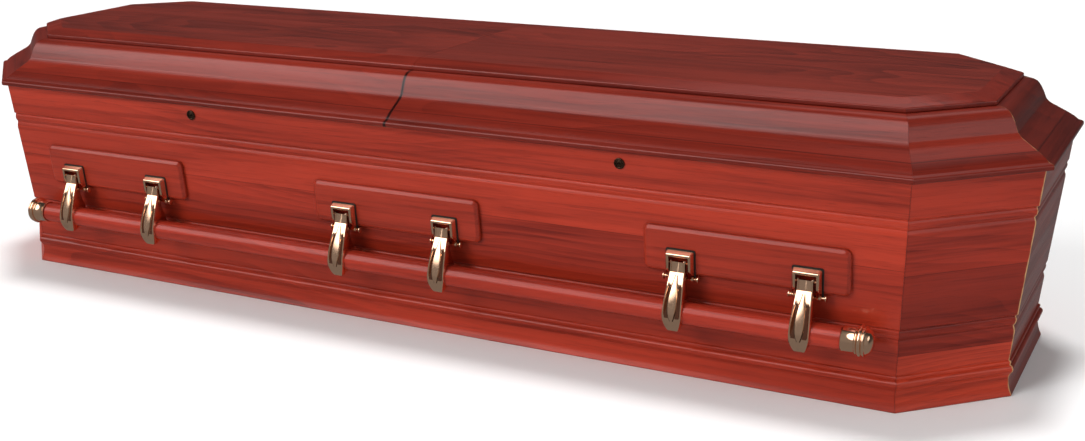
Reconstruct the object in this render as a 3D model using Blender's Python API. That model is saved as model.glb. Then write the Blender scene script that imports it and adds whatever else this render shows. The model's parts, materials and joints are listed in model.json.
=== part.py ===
"""Timber funeral casket with a split, moulded lid and two swinging carrying bars.

An eight-sided box of solid boards, longer than wide, with battered sides, stands on its plinth. Two lid
halves rest on small bumpers. Each long side carries three raised plaques, and each plaque two metal lugs,
whose arms hold one round timber bar. X runs along the casket, the front side faces -Y, and Z = 0 is the
underside.
"""

import math

import bmesh
import bpy
from mathutils import Matrix, Vector

# Overall sizes, in metres
LID_LENGTH = 2.060
LID_WIDTH = 0.6214
CORNER_ALONG = 0.1627
CORNER_ACROSS = 0.1566
TOUCH_GAP = 0.0003

# Box walls: the outer face leans in by BATTER metres for each metre down
BATTER = 0.102
WALL_TOP_INSET = 0.0105
WALL_THICKNESS = 0.0200
FLOOR_THICKNESS = 0.0150
UPPER_REED_HEIGHT = 0.3045
LOWER_REED_HEIGHT = 0.1315
PLINTH_HEIGHT = 0.0560

# One reeded band: how far in from the wall face, and how far down from the band's top edge
REED_BAND = (
    (0.0000, 0.0000),
    (0.0027, 0.0030),
    (0.0008, 0.0075),
    (0.0013, 0.0150),
    (0.0033, 0.0188),
    (0.0010, 0.0245),
    (0.0000, 0.0290),
)

# The plinth: how far out from the wall face, and the share of the plinth's height
PLINTH_STEPS = (
    (0.0000, 1.000),
    (0.0030, 0.938),
    (0.0033, 0.866),
    (0.0066, 0.830),
    (0.0087, 0.768),
    (0.0082, 0.682),
    (0.0051, 0.596),
    (0.0042, 0.500),
    (0.0138, 0.020),
    (0.0130, 0.000),
)

# Lid: the moulded frame's outer face, as inset from the rim and height above its underside. Its inner face
# follows only the points in LID_INNER_POINTS, a board's thickness inside them.
LID_GAP = 0.0025
LID_FACE = (
    (0.0015, 0.0000),
    (0.0000, 0.0030),
    (0.0004, 0.0066),
    (0.0026, 0.0087),
    (0.0080, 0.0102),
    (0.0148, 0.0163),
    (0.0260, 0.0236),
    (0.0395, 0.0315),
    (0.0510, 0.0385),
    (0.0570, 0.0445),
    (0.0602, 0.0520),
    (0.0632, 0.0595),
    (0.0672, 0.0670),
    (0.0722, 0.0732),
    (0.0785, 0.0768),
    (0.0860, 0.0784),
)
LID_BOARD = 0.0150
LID_OPENING_INSET = 0.1100
LID_INNER_POINTS = (13, 10, 8, 6)
SEAM_RAIL = 0.0180
SEAM_GAP = 0.0006

# The bevelled panel on the frame: its edge, as distance in from PANEL_INSET and rise, and the bevel above it
PANEL_INSET = 0.0932
PANEL_EDGE = (
    (0.0000, 0.0000),
    (-0.0008, 0.0012),
    (-0.0008, 0.0064),
    (0.0016, 0.0080),
)
PANEL_BEVEL = 0.0285
PANEL_THICKNESS = 0.0170

# Bumpers between the walls and the lid
BUMPER_RADIUS = 0.0040
BUMPER_MARGIN = 0.0006
BUMPER_FROM_SEAM = 0.0140
BUMPER_FROM_CORNER = 0.0380

# Plaques, on the wall face; heights are measured where the wall face is
PLAQUE_LENGTH = 0.3260
PLAQUE_WIDTH = 0.0750
PLAQUE_THICKNESS = 0.0100
PLAQUE_CORNER = 0.0100
PLAQUE_EASE = 0.0040
PLAQUE_HEIGHT = 0.2115
PLAQUE_FROM_END = 0.4110

# Locks in the front wall, below the lid's rim
LOCK_HEIGHT = 0.3400
LOCK_BELOW_RIM = 0.0200
LOCK_FROM_SEAM = 0.4180
LOCK_RADIUS = 0.0090
LOCK_PROUD = 0.0022
LOCK_BEVEL = 0.0020
LOCK_BARREL_RADIUS = 0.0075
LOCK_TAIL = 0.0040
KEY_SLOT_LENGTH = 0.0080
KEY_SLOT_WIDTH = 0.0016
KEY_SLOT_DEPTH = 0.0013

# Lugs: an open hood on the plaque, with the pivot pin between its cheeks and a rest pin below. The pivot is
# PIVOT_DROP lower than the plaque's middle.
LUG_SPACING = 0.2000
HOOD_CLEARANCE = 0.0030
HOOD_FRONT_WALL = 0.0042
HOOD_BASE_WALL = 0.0030
HOOD_FLARE = 0.0040
HOOD_DEPTH = 0.0130
HOOD_HEIGHT = 0.0350
HOOD_SLOPE = 0.0055
HOOD_CORNER = 0.0025
HOOD_TOP_ABOVE_PIVOT = 0.0215
PIVOT_DROP = 0.0176
PIVOT_OUT = 0.0055
PIVOT_PIN_RADIUS = 0.0020
PIN_SHY = 0.0012
CHEEK_PAST_PIN = 0.0013
REST_PIN_DROP = 0.0270
REST_PIN_OUT = 0.0030
REST_PIN_RADIUS = 0.0030
REST_PIN_PAST_HOOD = 0.0036
REST_PIN_FLANGE = 0.0016
REST_PIN_FLANGE_RADIUS = 0.0057
REST_PIN_NECK = 0.0050

# Arms: one casting each, from the knuckle on the pivot pin to the eye round the bar
KNUCKLE_RADIUS = 0.0042
ARM_HEAD_RADIUS = 0.0034
BAR_DOWN = 0.0749
BAR_OUT = 0.0115
ARM_FRONT_WALL = 0.0038
ARM_BACK_WALL = 0.0070
ARM_TOP_WIDTH = 0.0256
ARM_FULL_WIDTH = 0.0330
ARM_EDGE = 0.0040
ARM_BACK_TAPER = 0.0026
ARM_TIP_DROP = 0.0265
ARM_TIP_WIDTH = 0.0190
ARM_TIP_SET_BACK = 0.0068
ARM_TIP_DEPTH = 0.0115
SPINE_RAISE = 0.0014
SPINE_START = 0.0160
SPINE_PAST_BAR = 0.0146
SPINE_HALF_WIDTH = 0.0018
SPINE_SWELL = 0.0048

# How quickly the arm's front swells below the pivot, and its tip draws in below the bar, as powers
ARM_FRONT_EASE = 1.35
ARM_TIP_EASE = 2.6
ARM_TAPER_EASE = 1.8

# Where the arm's sections are cut, as shares of the way to the bar and from there to the tip. None is level
# with the pivot or the bar, where it would meet the corners of the knuckle or the eye.
NECK_SHARES = (0.01, 0.22, 0.36, 0.66)
TIP_SHARES = (0.06, 0.47, 0.80, 1.0)

# Bar and its end caps, whose rings are distances past the sleeve and how far they stand out from it
BAR_RADIUS = 0.0175
BAR_RIM_PAST_LUG = 0.0610
CAP_SLEEVE = 0.0210
CAP_WEB = 0.0010
CAP_WALL = 0.0014
CAP_RINGS = (
    (0.0000, 0.0012),
    (0.0032, 0.0054),
    (0.0088, 0.0052),
    (0.0104, 0.0020),
    (0.0168, -0.0006),
)
CAP_DOME = 0.0085

# Facets round the turned pieces
BAR_SIDES = 16
KNUCKLE_SIDES = 9
PIN_SIDES = 7
REST_PIN_SIDES = 7
LOCK_SIDES = 12
BUMPER_SIDES = 6

# Edges sharper than these angles, in degrees, stay crisp
PLAQUE_SMOOTH = 50
TURNED_SMOOTH = 40
METAL_SMOOTH = 35

LEVEL_ANGLE = math.radians(0.2)
LEAN = math.atan(BATTER)
RIM_HEIGHT = LOCK_HEIGHT + LOCK_BELOW_RIM
LID_TOP = RIM_HEIGHT + LID_FACE[-1][1]
WALL_TOP = RIM_HEIGHT - LID_GAP
PLAQUE_SPACING = LID_LENGTH / 2 - PLAQUE_FROM_END
PIVOT_HEIGHT = PLAQUE_HEIGHT - PIVOT_DROP
BAR_RIM_FROM_CENTRE = PLAQUE_SPACING + LUG_SPACING / 2 + BAR_RIM_PAST_LUG
HOOD_FRONT_HALF = ARM_TOP_WIDTH / 2 + HOOD_CLEARANCE + HOOD_FRONT_WALL
HOOD_BASE_HALF = HOOD_FRONT_HALF + HOOD_FLARE
SIDE_TURN = {"front": 0.0, "back": math.pi}


def material(name, colour, roughness, metallic):
    """A plain Principled material."""
    made = bpy.data.materials.new(name)
    made.use_nodes = True
    shader = made.node_tree.nodes["Principled BSDF"]
    shader.inputs["Base Color"].default_value = (*colour, 1.0)
    shader.inputs["Roughness"].default_value = roughness
    shader.inputs["Metallic"].default_value = metallic
    made.diffuse_color = (*colour, 1.0)
    return made


def finish_mesh(name, mesh_builder, smooth_angle=None):
    """The mesh of a bmesh, with its faces turned outwards."""
    bmesh.ops.recalc_face_normals(mesh_builder, faces=mesh_builder.faces)
    mesh = bpy.data.meshes.new(name)
    mesh_builder.to_mesh(mesh)
    mesh_builder.free()
    if smooth_angle is not None:
        mesh.shade_smooth()
        mesh.set_sharp_from_angle(angle=math.radians(smooth_angle))
    return mesh


def loft(name, rings, closed=False, smooth_angle=None):
    """Joins rings of equal count with quads. A closed loft meets its first ring, an open one has end caps."""
    builder = bmesh.new()
    rows = [[builder.verts.new(point) for point in ring] for ring in rings]
    count = len(rows[0])
    steps = len(rows) if closed else len(rows) - 1
    for step in range(steps):
        low = rows[step]
        high = rows[(step + 1) % len(rows)]
        for i in range(count):
            j = (i + 1) % count
            builder.faces.new((low[i], low[j], high[j], high[i]))
    if not closed:
        builder.faces.new(rows[0])
        builder.faces.new(rows[-1])
    return finish_mesh(name, builder, smooth_angle)


def turned(name, profile, sides, smooth_angle=None):
    """Turns (x, radius) points about the X axis. The profile starts and ends on the axis."""
    builder = bmesh.new()
    flat_start = profile[0][0] == profile[1][0]
    flat_end = profile[-1][0] == profile[-2][0]
    points = profile[1 if flat_start else 0 : -1 if flat_end else None]
    angles = [2 * math.pi * i / sides for i in range(sides)]
    rows = []
    for x, radius in points:
        if radius == 0:
            rows.append([builder.verts.new((x, 0, 0))])
        else:
            rows.append([builder.verts.new((x, radius * math.cos(a), radius * math.sin(a))) for a in angles])
    for low, high in zip(rows, rows[1:]):
        for i in range(sides):
            j = (i + 1) % sides
            if len(low) == 1:
                builder.faces.new((low[0], high[i], high[j]))
            elif len(high) == 1:
                builder.faces.new((low[i], low[j], high[0]))
            else:
                builder.faces.new((low[i], low[j], high[j], high[i]))
    if flat_start:
        builder.faces.new(rows[0])
    if flat_end:
        builder.faces.new(rows[-1])
    return finish_mesh(name, builder, smooth_angle)


def block(name, low, high):
    """A rectangular block between two corners."""
    builder = bmesh.new()
    bmesh.ops.create_cube(builder, size=1)
    low, high = Vector(low), Vector(high)
    bmesh.ops.scale(builder, vec=high - low, verts=builder.verts)
    bmesh.ops.translate(builder, vec=(low + high) / 2, verts=builder.verts)
    return finish_mesh(name, builder)


def combined(name, base, others, operation, smooth_angle=None):
    """Boolean of one mesh with several others, applied."""
    host = bpy.data.objects.new(name + "_host", base)
    bpy.context.scene.collection.objects.link(host)
    helpers = [host]
    for mesh in others:
        helper = bpy.data.objects.new(name + "_helper", mesh)
        bpy.context.scene.collection.objects.link(helper)
        helper.hide_render = True
        helper.display_type = "WIRE"
        modifier = host.modifiers.new("boolean", "BOOLEAN")
        modifier.operation = operation
        modifier.solver = "EXACT"
        modifier.object = helper
        helpers.append(helper)
    graph = bpy.context.evaluated_depsgraph_get()
    result = bpy.data.meshes.new_from_object(host.evaluated_get(graph))
    result.name = name
    for helper in helpers:
        bpy.data.objects.remove(helper)
    # Faces that the Boolean split and left level with each other are joined again
    builder = bmesh.new()
    builder.from_mesh(result)
    bmesh.ops.dissolve_limit(builder, angle_limit=LEVEL_ANGLE, verts=builder.verts, edges=builder.edges)
    builder.to_mesh(result)
    builder.free()
    if smooth_angle is not None:
        result.shade_smooth()
        result.set_sharp_from_angle(angle=math.radians(smooth_angle))
    return result


def add(name, mesh, finish, location=(0, 0, 0), turn=0.0, tilt=0.0, parent=None):
    """One named object, tilted about X, then turned about Z. Pieces that share a mesh share its material."""
    if not mesh.materials:
        mesh.materials.append(finish)
    piece = bpy.data.objects.new(name, mesh)
    bpy.context.scene.collection.objects.link(piece)
    piece.parent = parent
    piece.matrix_world = (
        Matrix.Translation(location) @ Matrix.Rotation(turn, 4, "Z") @ Matrix.Rotation(tilt, 4, "X")
    )


def outline(inset):
    """The casket's eight corners in plan, moved in by the inset, anticlockwise from the front right."""
    half_length = LID_LENGTH / 2
    half_width = LID_WIDTH / 2
    normal = Vector((CORNER_ACROSS, -CORNER_ALONG)).normalized()
    reach = normal.dot(Vector((half_length - CORNER_ALONG, -half_width))) - inset
    side_y = -(half_width - inset)
    side_x = (reach - normal.y * side_y) / normal.x
    end_x = half_length - inset
    end_y = (reach - normal.x * end_x) / normal.y
    return [
        Vector((side_x, side_y)),
        Vector((end_x, end_y)),
        Vector((end_x, -end_y)),
        Vector((side_x, -side_y)),
        Vector((-side_x, -side_y)),
        Vector((-end_x, -end_y)),
        Vector((-end_x, end_y)),
        Vector((-side_x, side_y)),
    ]


def wall_inset(height):
    """How far the wall's plain outer face is inset from the rim at a height."""
    return WALL_TOP_INSET + (RIM_HEIGHT - height) * BATTER


def wall_profile():
    """The wall's closed section, as (inset, height) points from the top edge down the outer face."""
    points = [(wall_inset(WALL_TOP), WALL_TOP)]
    for band_top in (UPPER_REED_HEIGHT, LOWER_REED_HEIGHT):
        for depth, drop in REED_BAND:
            height = band_top - drop
            points.append((wall_inset(height) + depth, height))
    for proud, share in PLINTH_STEPS:
        height = PLINTH_HEIGHT * share
        points.append((wall_inset(height) - proud, height))
    board = WALL_THICKNESS / math.cos(LEAN)
    points.append((wall_inset(0) + board, 0.0))
    points.append((wall_inset(WALL_TOP) + board, WALL_TOP))
    return points


def wall_mesh(name, first):
    """One wall board between two corners of the outline, mitred at both ends."""
    profile = wall_profile()
    second = (first + 1) % 8
    run = (outline(0)[second] - outline(0)[first]).normalized()
    rings = []
    for corner, shift in ((first, TOUCH_GAP / 2), (second, -TOUCH_GAP / 2)):
        # The mitre's gap is measured square to the cut, which slants from the board's own direction
        slant = shift / math.cos(math.pi / 8)
        ring = []
        for inset, height in profile:
            point = outline(inset)[corner] + run * slant
            ring.append((point.x, point.y, height))
        rings.append(ring)
    return loft(name, rings)


def make_walls(finish):
    """Eight boards with their mouldings and plinth. The front one is bored for the two locks."""
    names = (
        "wall_corner_front_right",
        "wall_end_right",
        "wall_corner_back_right",
        "wall_back",
        "wall_corner_back_left",
        "wall_end_left",
        "wall_corner_front_left",
        "wall_front",
    )
    for first, name in enumerate(names):
        mesh = wall_mesh(name, first)
        if name == "wall_front":
            bores = [lock_bore(side) for side in (-1, 1)]
            mesh = combined(name, mesh, bores, "DIFFERENCE")
        add(name, mesh, finish)


def make_floor(finish):
    """The floor board, fitted between the walls with its underside at the casket's underside."""
    board = WALL_THICKNESS / math.cos(LEAN)
    rings = []
    for height in (0.0, FLOOR_THICKNESS):
        inset = wall_inset(height) + board + TOUCH_GAP / math.cos(LEAN)
        rings.append([(p.x, p.y, height) for p in outline(inset)])
    add("floor_board", loft("floor_board", rings), finish)


def half_outline(inset, seam_x):
    """The right half's six corners in plan, cut square at seam_x."""
    corners = outline(inset)
    front_right, end_front, end_back, back_right = corners[:4]
    return [
        Vector((seam_x, front_right.y)),
        front_right,
        end_front,
        end_back,
        back_right,
        Vector((seam_x, back_right.y)),
    ]


def lid_inner_face():
    """The frame's inner face, from the top down: a board's thickness inside some of the outer points."""
    top = LID_FACE[-1][1]
    points = [(LID_OPENING_INSET, top), (LID_OPENING_INSET, top - LID_BOARD)]
    for i in LID_INNER_POINTS:
        before, here, after = LID_FACE[i - 1], LID_FACE[i], LID_FACE[i + 1]
        run = Vector((after[0] - before[0], after[1] - before[1])).normalized()
        points.append((here[0] + LID_BOARD * run.y, here[1] - LID_BOARD * run.x))
    points.append((wall_inset(WALL_TOP) + WALL_THICKNESS, 0.0))
    return points


def make_lid(side, sign, frame_finish, panel_finish):
    """One lid half: a moulded frame, open below, and the bevelled panel on it."""
    rings = []
    for inset, rise in LID_FACE:
        rings.append([(sign * p.x, p.y, RIM_HEIGHT + rise) for p in half_outline(inset, SEAM_GAP / 2)])
    for inset, rise in lid_inner_face():
        rings.append([(sign * p.x, p.y, RIM_HEIGHT + rise) for p in half_outline(inset, SEAM_RAIL)])
    add(f"lid_frame_{side}", loft(f"lid_frame_{side}", rings, closed=True), frame_finish)

    base = LID_TOP + TOUCH_GAP
    rings = []
    for further, rise in (*PANEL_EDGE, (PANEL_BEVEL, PANEL_THICKNESS)):
        plan = half_outline(PANEL_INSET + further, SEAM_GAP / 2)
        rings.append([(sign * p.x, p.y, base + rise) for p in plan])
    add(f"lid_panel_{side}", loft(f"lid_panel_{side}", rings), panel_finish)


def make_bumpers(finish):
    """Eight small discs on the wall tops, four under each lid half."""
    low = WALL_TOP + TOUCH_GAP
    profile = (
        (0.0, 0.0),
        (0.0, BUMPER_RADIUS),
        (LID_GAP - 2 * TOUCH_GAP, BUMPER_RADIUS),
        (LID_GAP - 2 * TOUCH_GAP, 0.0),
    )
    disc = turned("bumper", profile, BUMPER_SIDES, TURNED_SMOOTH)
    disc.transform(Matrix.Rotation(-math.pi / 2, 4, "Y"))
    corner_x = outline(0)[0].x
    inset = wall_inset(WALL_TOP) + BUMPER_RADIUS + BUMPER_MARGIN
    y = LID_WIDTH / 2 - inset
    for side, sign in (("left", -1), ("right", 1)):
        for place, x in (("seam", BUMPER_FROM_SEAM), ("end", corner_x - BUMPER_FROM_CORNER)):
            for face, face_sign in (("front", -1), ("back", 1)):
                add(f"bumper_{face}_{side}_{place}", disc, finish, (sign * x, face_sign * y, low))


def wall_point(height, out):
    """(y, z) of a point that stands out square from the front wall's face at a height."""
    face_y = -(LID_WIDTH / 2 - wall_inset(height))
    return face_y - out * math.cos(LEAN), height - out * math.sin(LEAN)


def on_side(side, x, y, z):
    """A front-side place, turned half round for the back."""
    return (x, y, z) if side == "front" else (-x, -y, z)


def rounded_rectangle(length, width, radius, steps):
    """Plan points of a rectangle with round corners, anticlockwise."""
    points = []
    for quarter in range(4):
        centre_x = (length / 2 - radius) * (1 if quarter in (0, 3) else -1)
        centre_y = (width / 2 - radius) * (1 if quarter in (0, 1) else -1)
        for step in range(steps + 1):
            angle = math.pi / 2 * (quarter + step / steps)
            points.append((centre_x + radius * math.cos(angle), centre_y + radius * math.sin(angle)))
    return points


def make_plaques(finish, corner_steps=2):
    """Six raised plates with round corners and an eased edge."""
    rings = []
    for inset, out in (
        (0.0, TOUCH_GAP),
        (0.0, PLAQUE_THICKNESS - PLAQUE_EASE),
        (PLAQUE_EASE, PLAQUE_THICKNESS),
    ):
        length = PLAQUE_LENGTH - 2 * inset
        width = PLAQUE_WIDTH - 2 * inset
        plan = rounded_rectangle(length, width, PLAQUE_CORNER - inset, corner_steps)
        rings.append([(x, -out, z) for x, z in plan])
    mesh = loft("plaque", rings, smooth_angle=PLAQUE_SMOOTH)
    y, z = wall_point(PLAQUE_HEIGHT, 0.0)
    for side, turn in SIDE_TURN.items():
        for place, x in (("left", -PLAQUE_SPACING), ("centre", 0.0), ("right", PLAQUE_SPACING)):
            add(f"plaque_{side}_{place}", mesh, finish, on_side(side, x, y, z), turn, LEAN)


def lock_bore(side):
    """The cutter for one lock's hole through the front wall."""
    reach = 2 * WALL_THICKNESS
    radius = (LOCK_BARREL_RADIUS + TOUCH_GAP) / math.cos(math.pi / LOCK_SIDES)
    bore = turned("lock_bore", ((-reach, 0), (-reach, radius), (reach, radius), (reach, 0)), LOCK_SIDES)
    y, z = wall_point(LOCK_HEIGHT, 0.0)
    place = Matrix.Translation((side * LOCK_FROM_SEAM, y, z)) @ Matrix.Rotation(LEAN, 4, "X")
    bore.transform(place @ Matrix.Rotation(math.pi / 2, 4, "Z"))
    return bore


def make_locks(finish):
    """Two round locks: a barrel through the wall, and a bevelled face with a key slot."""
    tail = -WALL_THICKNESS - LOCK_TAIL
    face = TOUCH_GAP + LOCK_PROUD
    profile = (
        (tail, 0.0),
        (tail, LOCK_BARREL_RADIUS),
        (TOUCH_GAP, LOCK_BARREL_RADIUS),
        (TOUCH_GAP, LOCK_RADIUS),
        (TOUCH_GAP + LOCK_PROUD / 2, LOCK_RADIUS),
        (face, LOCK_RADIUS - LOCK_BEVEL),
        (face, 0.0),
    )
    barrel = turned("lock", profile, LOCK_SIDES)
    barrel.transform(Matrix.Rotation(-math.pi / 2, 4, "Z"))
    slot = block(
        "key_slot",
        (-KEY_SLOT_LENGTH / 2, -face - LOCK_PROUD, -KEY_SLOT_WIDTH / 2),
        (KEY_SLOT_LENGTH / 2, -face + KEY_SLOT_DEPTH, KEY_SLOT_WIDTH / 2),
    )
    mesh = combined("lock", barrel, [slot], "DIFFERENCE", METAL_SMOOTH)
    y, z = wall_point(LOCK_HEIGHT, 0.0)
    for name, sign in (("lock_left", -1), ("lock_right", 1)):
        add(name, mesh, finish, (sign * LOCK_FROM_SEAM, y, z), 0.0, LEAN)


def pivot_point():
    """(y, z) of the front bar's pivot axis."""
    height = PIVOT_HEIGHT + (PLAQUE_THICKNESS + PIVOT_OUT) * math.sin(LEAN)
    return wall_point(height, PLAQUE_THICKNESS + PIVOT_OUT)


def rod(name, half_length, radius, sides):
    """A plain round bar along X, centred."""
    profile = ((-half_length, 0), (-half_length, radius), (half_length, radius), (half_length, 0))
    return turned(name, profile, sides)


def hood_mesh():
    """The lug's hood: two cheeks and a top, open below and in front. The cheeks reach to the rest pin."""
    back = PIVOT_OUT - TOUCH_GAP
    pin_front = PIVOT_OUT - REST_PIN_OUT - REST_PIN_RADIUS - CHEEK_PAST_PIN
    pin_low = -REST_PIN_DROP - CHEEK_PAST_PIN
    front = PIVOT_OUT - HOOD_DEPTH
    rings = []
    for y, low in (
        (back, pin_low),
        (pin_front, pin_low),
        (front, HOOD_TOP_ABOVE_PIVOT - HOOD_HEIGHT + HOOD_SLOPE),
    ):
        share = (back - y) / (back - front)
        half = HOOD_BASE_HALF + (HOOD_FRONT_HALF - HOOD_BASE_HALF) * share
        wall = HOOD_BASE_WALL + (HOOD_FRONT_WALL - HOOD_BASE_WALL) * share
        high = HOOD_TOP_ABOVE_PIVOT - HOOD_SLOPE * share
        inner = half - wall
        rings.append(
            [
                (-half, y, low),
                (-half, y, high - HOOD_CORNER),
                (-half + HOOD_CORNER, y, high),
                (half - HOOD_CORNER, y, high),
                (half, y, high - HOOD_CORNER),
                (half, y, low),
                (inner, y, low),
                (inner, y, high - wall),
                (-inner, y, high - wall),
                (-inner, y, low),
            ]
        )
    return loft("hood", rings)


def lug_mesh():
    """The lug in a frame on the pivot axis: -Y is square out from the wall, Z up along it."""
    pivot_pin = rod("pivot_pin", HOOD_FRONT_HALF - PIN_SHY, PIVOT_PIN_RADIUS, PIN_SIDES)
    end = HOOD_BASE_HALF + REST_PIN_PAST_HOOD
    half_profile = (
        (end - REST_PIN_NECK, REST_PIN_RADIUS),
        (end - REST_PIN_FLANGE, REST_PIN_FLANGE_RADIUS),
        (end, REST_PIN_FLANGE_RADIUS),
        (end, 0.0),
    )
    mirrored = tuple((-x, radius) for x, radius in reversed(half_profile))
    rest_pin = turned("rest_pin", mirrored + half_profile, REST_PIN_SIDES)
    rest_pin.transform(Matrix.Translation((0, PIVOT_OUT - REST_PIN_OUT, -REST_PIN_DROP)))
    return combined("lug", hood_mesh(), [rest_pin, pivot_pin], "UNION", METAL_SMOOTH)


def smooth_step(share):
    """Rises from 0 to 1 with level ends."""
    share = min(max(share, 0.0), 1.0)
    return share * share * (3 - 2 * share)


def rest_pin_place():
    """(out, down) of the rest pin's axis from the pivot axis, square to an upright arm."""
    inward = PIVOT_OUT - REST_PIN_OUT
    out = -(inward * math.cos(LEAN) + REST_PIN_DROP * math.sin(LEAN))
    down = REST_PIN_DROP * math.cos(LEAN) - inward * math.sin(LEAN)
    return out, down


def arm_section(down):
    """(front, back, half width, spine half width, spine raise) of the arm at a distance below the pivot."""
    full_front = BAR_OUT + BAR_RADIUS + ARM_FRONT_WALL
    full_back = BAR_OUT - BAR_RADIUS - ARM_BACK_WALL
    pin_out, neck_down = rest_pin_place()
    neck_back = pin_out + REST_PIN_RADIUS + 2 * TOUCH_GAP
    if down <= BAR_DOWN:
        share = down / BAR_DOWN
        swell = 1 - (1 - share) ** ARM_FRONT_EASE
        front = ARM_HEAD_RADIUS + (full_front - ARM_HEAD_RADIUS) * swell
        width = ARM_TOP_WIDTH + (ARM_FULL_WIDTH - ARM_TOP_WIDTH) * smooth_step(share)
        if down < neck_down:
            back = -ARM_HEAD_RADIUS + (neck_back + ARM_HEAD_RADIUS) * down / neck_down
        else:
            below = smooth_step((down - neck_down) / (BAR_DOWN - neck_down))
            back = neck_back + (full_back - neck_back) * below
    else:
        share = (down - BAR_DOWN) / ARM_TIP_DROP
        draw = share**ARM_TIP_EASE
        front = full_front - ARM_TIP_SET_BACK * draw
        back = full_back + (full_front - ARM_TIP_SET_BACK - ARM_TIP_DEPTH - full_back) * draw
        width = ARM_FULL_WIDTH + (ARM_TIP_WIDTH - ARM_FULL_WIDTH) * share**ARM_TAPER_EASE
    spine_share = (down - SPINE_START) / (BAR_DOWN + SPINE_PAST_BAR - SPINE_START)
    if 0 < spine_share < 1:
        spine = SPINE_HALF_WIDTH + SPINE_SWELL * math.sin(math.pi * spine_share)
        return front, back, width / 2, spine, SPINE_RAISE
    return front, back, width / 2, SPINE_HALF_WIDTH, 0.0


def arm_mesh():
    """The arm in a frame on the pivot axis, as it hangs at rest: -Y outwards, Z up."""
    stations = [BAR_DOWN * share for share in NECK_SHARES]
    stations += [BAR_DOWN + ARM_TIP_DROP * share for share in TIP_SHARES]
    rings = []
    for down in stations:
        front, back, half, spine, raised = arm_section(down)
        rear = half - ARM_BACK_TAPER
        edge = ARM_EDGE * (front - back) / (front - back + ARM_EDGE)
        rings.append(
            [
                (-rear, -back, -down),
                (-half, -front + edge, -down),
                (-spine, -front - raised, -down),
                (spine, -front - raised, -down),
                (half, -front + edge, -down),
                (rear, -back, -down),
            ]
        )
    body = loft("arm_body", rings)
    knuckle = rod("knuckle", ARM_TOP_WIDTH / 2 - TOUCH_GAP, KNUCKLE_RADIUS, KNUCKLE_SIDES)
    eye_radius = (BAR_RADIUS + TOUCH_GAP) / math.cos(math.pi / BAR_SIDES)
    solid = combined("arm_solid", body, [knuckle], "UNION")
    eye = rod("eye", ARM_FULL_WIDTH, eye_radius, BAR_SIDES)
    eye.transform(Matrix.Translation((0, -BAR_OUT, -BAR_DOWN)))
    pin_radius = (PIVOT_PIN_RADIUS + TOUCH_GAP) / math.cos(math.pi / PIN_SIDES)
    pin_hole = rod("pin_hole", ARM_FULL_WIDTH, pin_radius, PIN_SIDES)
    return combined("arm", solid, [eye, pin_hole], "DIFFERENCE", METAL_SMOOTH)


def cap_mesh(dome_steps=2):
    """A turned end cap: a sleeve over the bar's end, stepped rings and a low dome, its mouth at x = 0."""
    inner = (BAR_RADIUS + TOUCH_GAP) / math.cos(math.pi / BAR_SIDES)
    outer = inner + CAP_WALL
    bottom = CAP_SLEEVE - CAP_WEB
    profile = [(bottom, 0.0), (bottom, inner), (0.0, inner), (0.0, outer)]
    profile += [(CAP_SLEEVE + along, outer + proud) for along, proud in CAP_RINGS]
    dome_start, dome_radius = profile[-1]
    for step in range(1, dome_steps):
        angle = math.pi / 2 * step / dome_steps
        profile.append((dome_start + CAP_DOME * math.sin(angle), dome_radius * math.cos(angle)))
    profile.append((dome_start + CAP_DOME, 0.0))
    return turned("bar_cap", profile, BAR_SIDES, TURNED_SMOOTH)


def make_handles(metal, timber):
    """Six lugs on each side, and the swinging bar with its arms and end caps."""
    lug = lug_mesh()
    arm = arm_mesh()
    cap = cap_mesh()
    bar = rod("bar", BAR_RIM_FROM_CENTRE + CAP_SLEEVE - CAP_WEB - TOUCH_GAP, BAR_RADIUS, BAR_SIDES)
    bar.shade_smooth()
    bar.set_sharp_from_angle(angle=math.radians(TURNED_SMOOTH))
    y, z = pivot_point()
    places = []
    for plaque_x in (-PLAQUE_SPACING, 0.0, PLAQUE_SPACING):
        places += [plaque_x - LUG_SPACING / 2, plaque_x + LUG_SPACING / 2]
    for side, turn in SIDE_TURN.items():
        pivot = bpy.data.objects.new(f"{side}_bar_pivot", None)
        bpy.context.scene.collection.objects.link(pivot)
        pivot.location = on_side(side, 0, y, z)
        bpy.context.view_layer.update()
        for number, x in enumerate(places, start=1):
            spot = on_side(side, x, y, z)
            add(f"lug_{side}_{number}", lug, metal, spot, turn, LEAN)
            add(f"arm_{side}_{number}", arm, metal, spot, turn, 0.0, pivot)
        bar_y, bar_z = y - BAR_OUT, z - BAR_DOWN
        add(f"bar_{side}", bar, timber, on_side(side, 0, bar_y, bar_z), turn, 0.0, pivot)
        for end, sign in (("left", -1), ("right", 1)):
            spot = (sign * BAR_RIM_FROM_CENTRE, *on_side(side, 0, bar_y, bar_z)[1:])
            end_turn = 0.0 if sign == 1 else math.pi
            add(f"bar_cap_{side}_{end}", cap, metal, spot, end_turn, 0.0, pivot)


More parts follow.
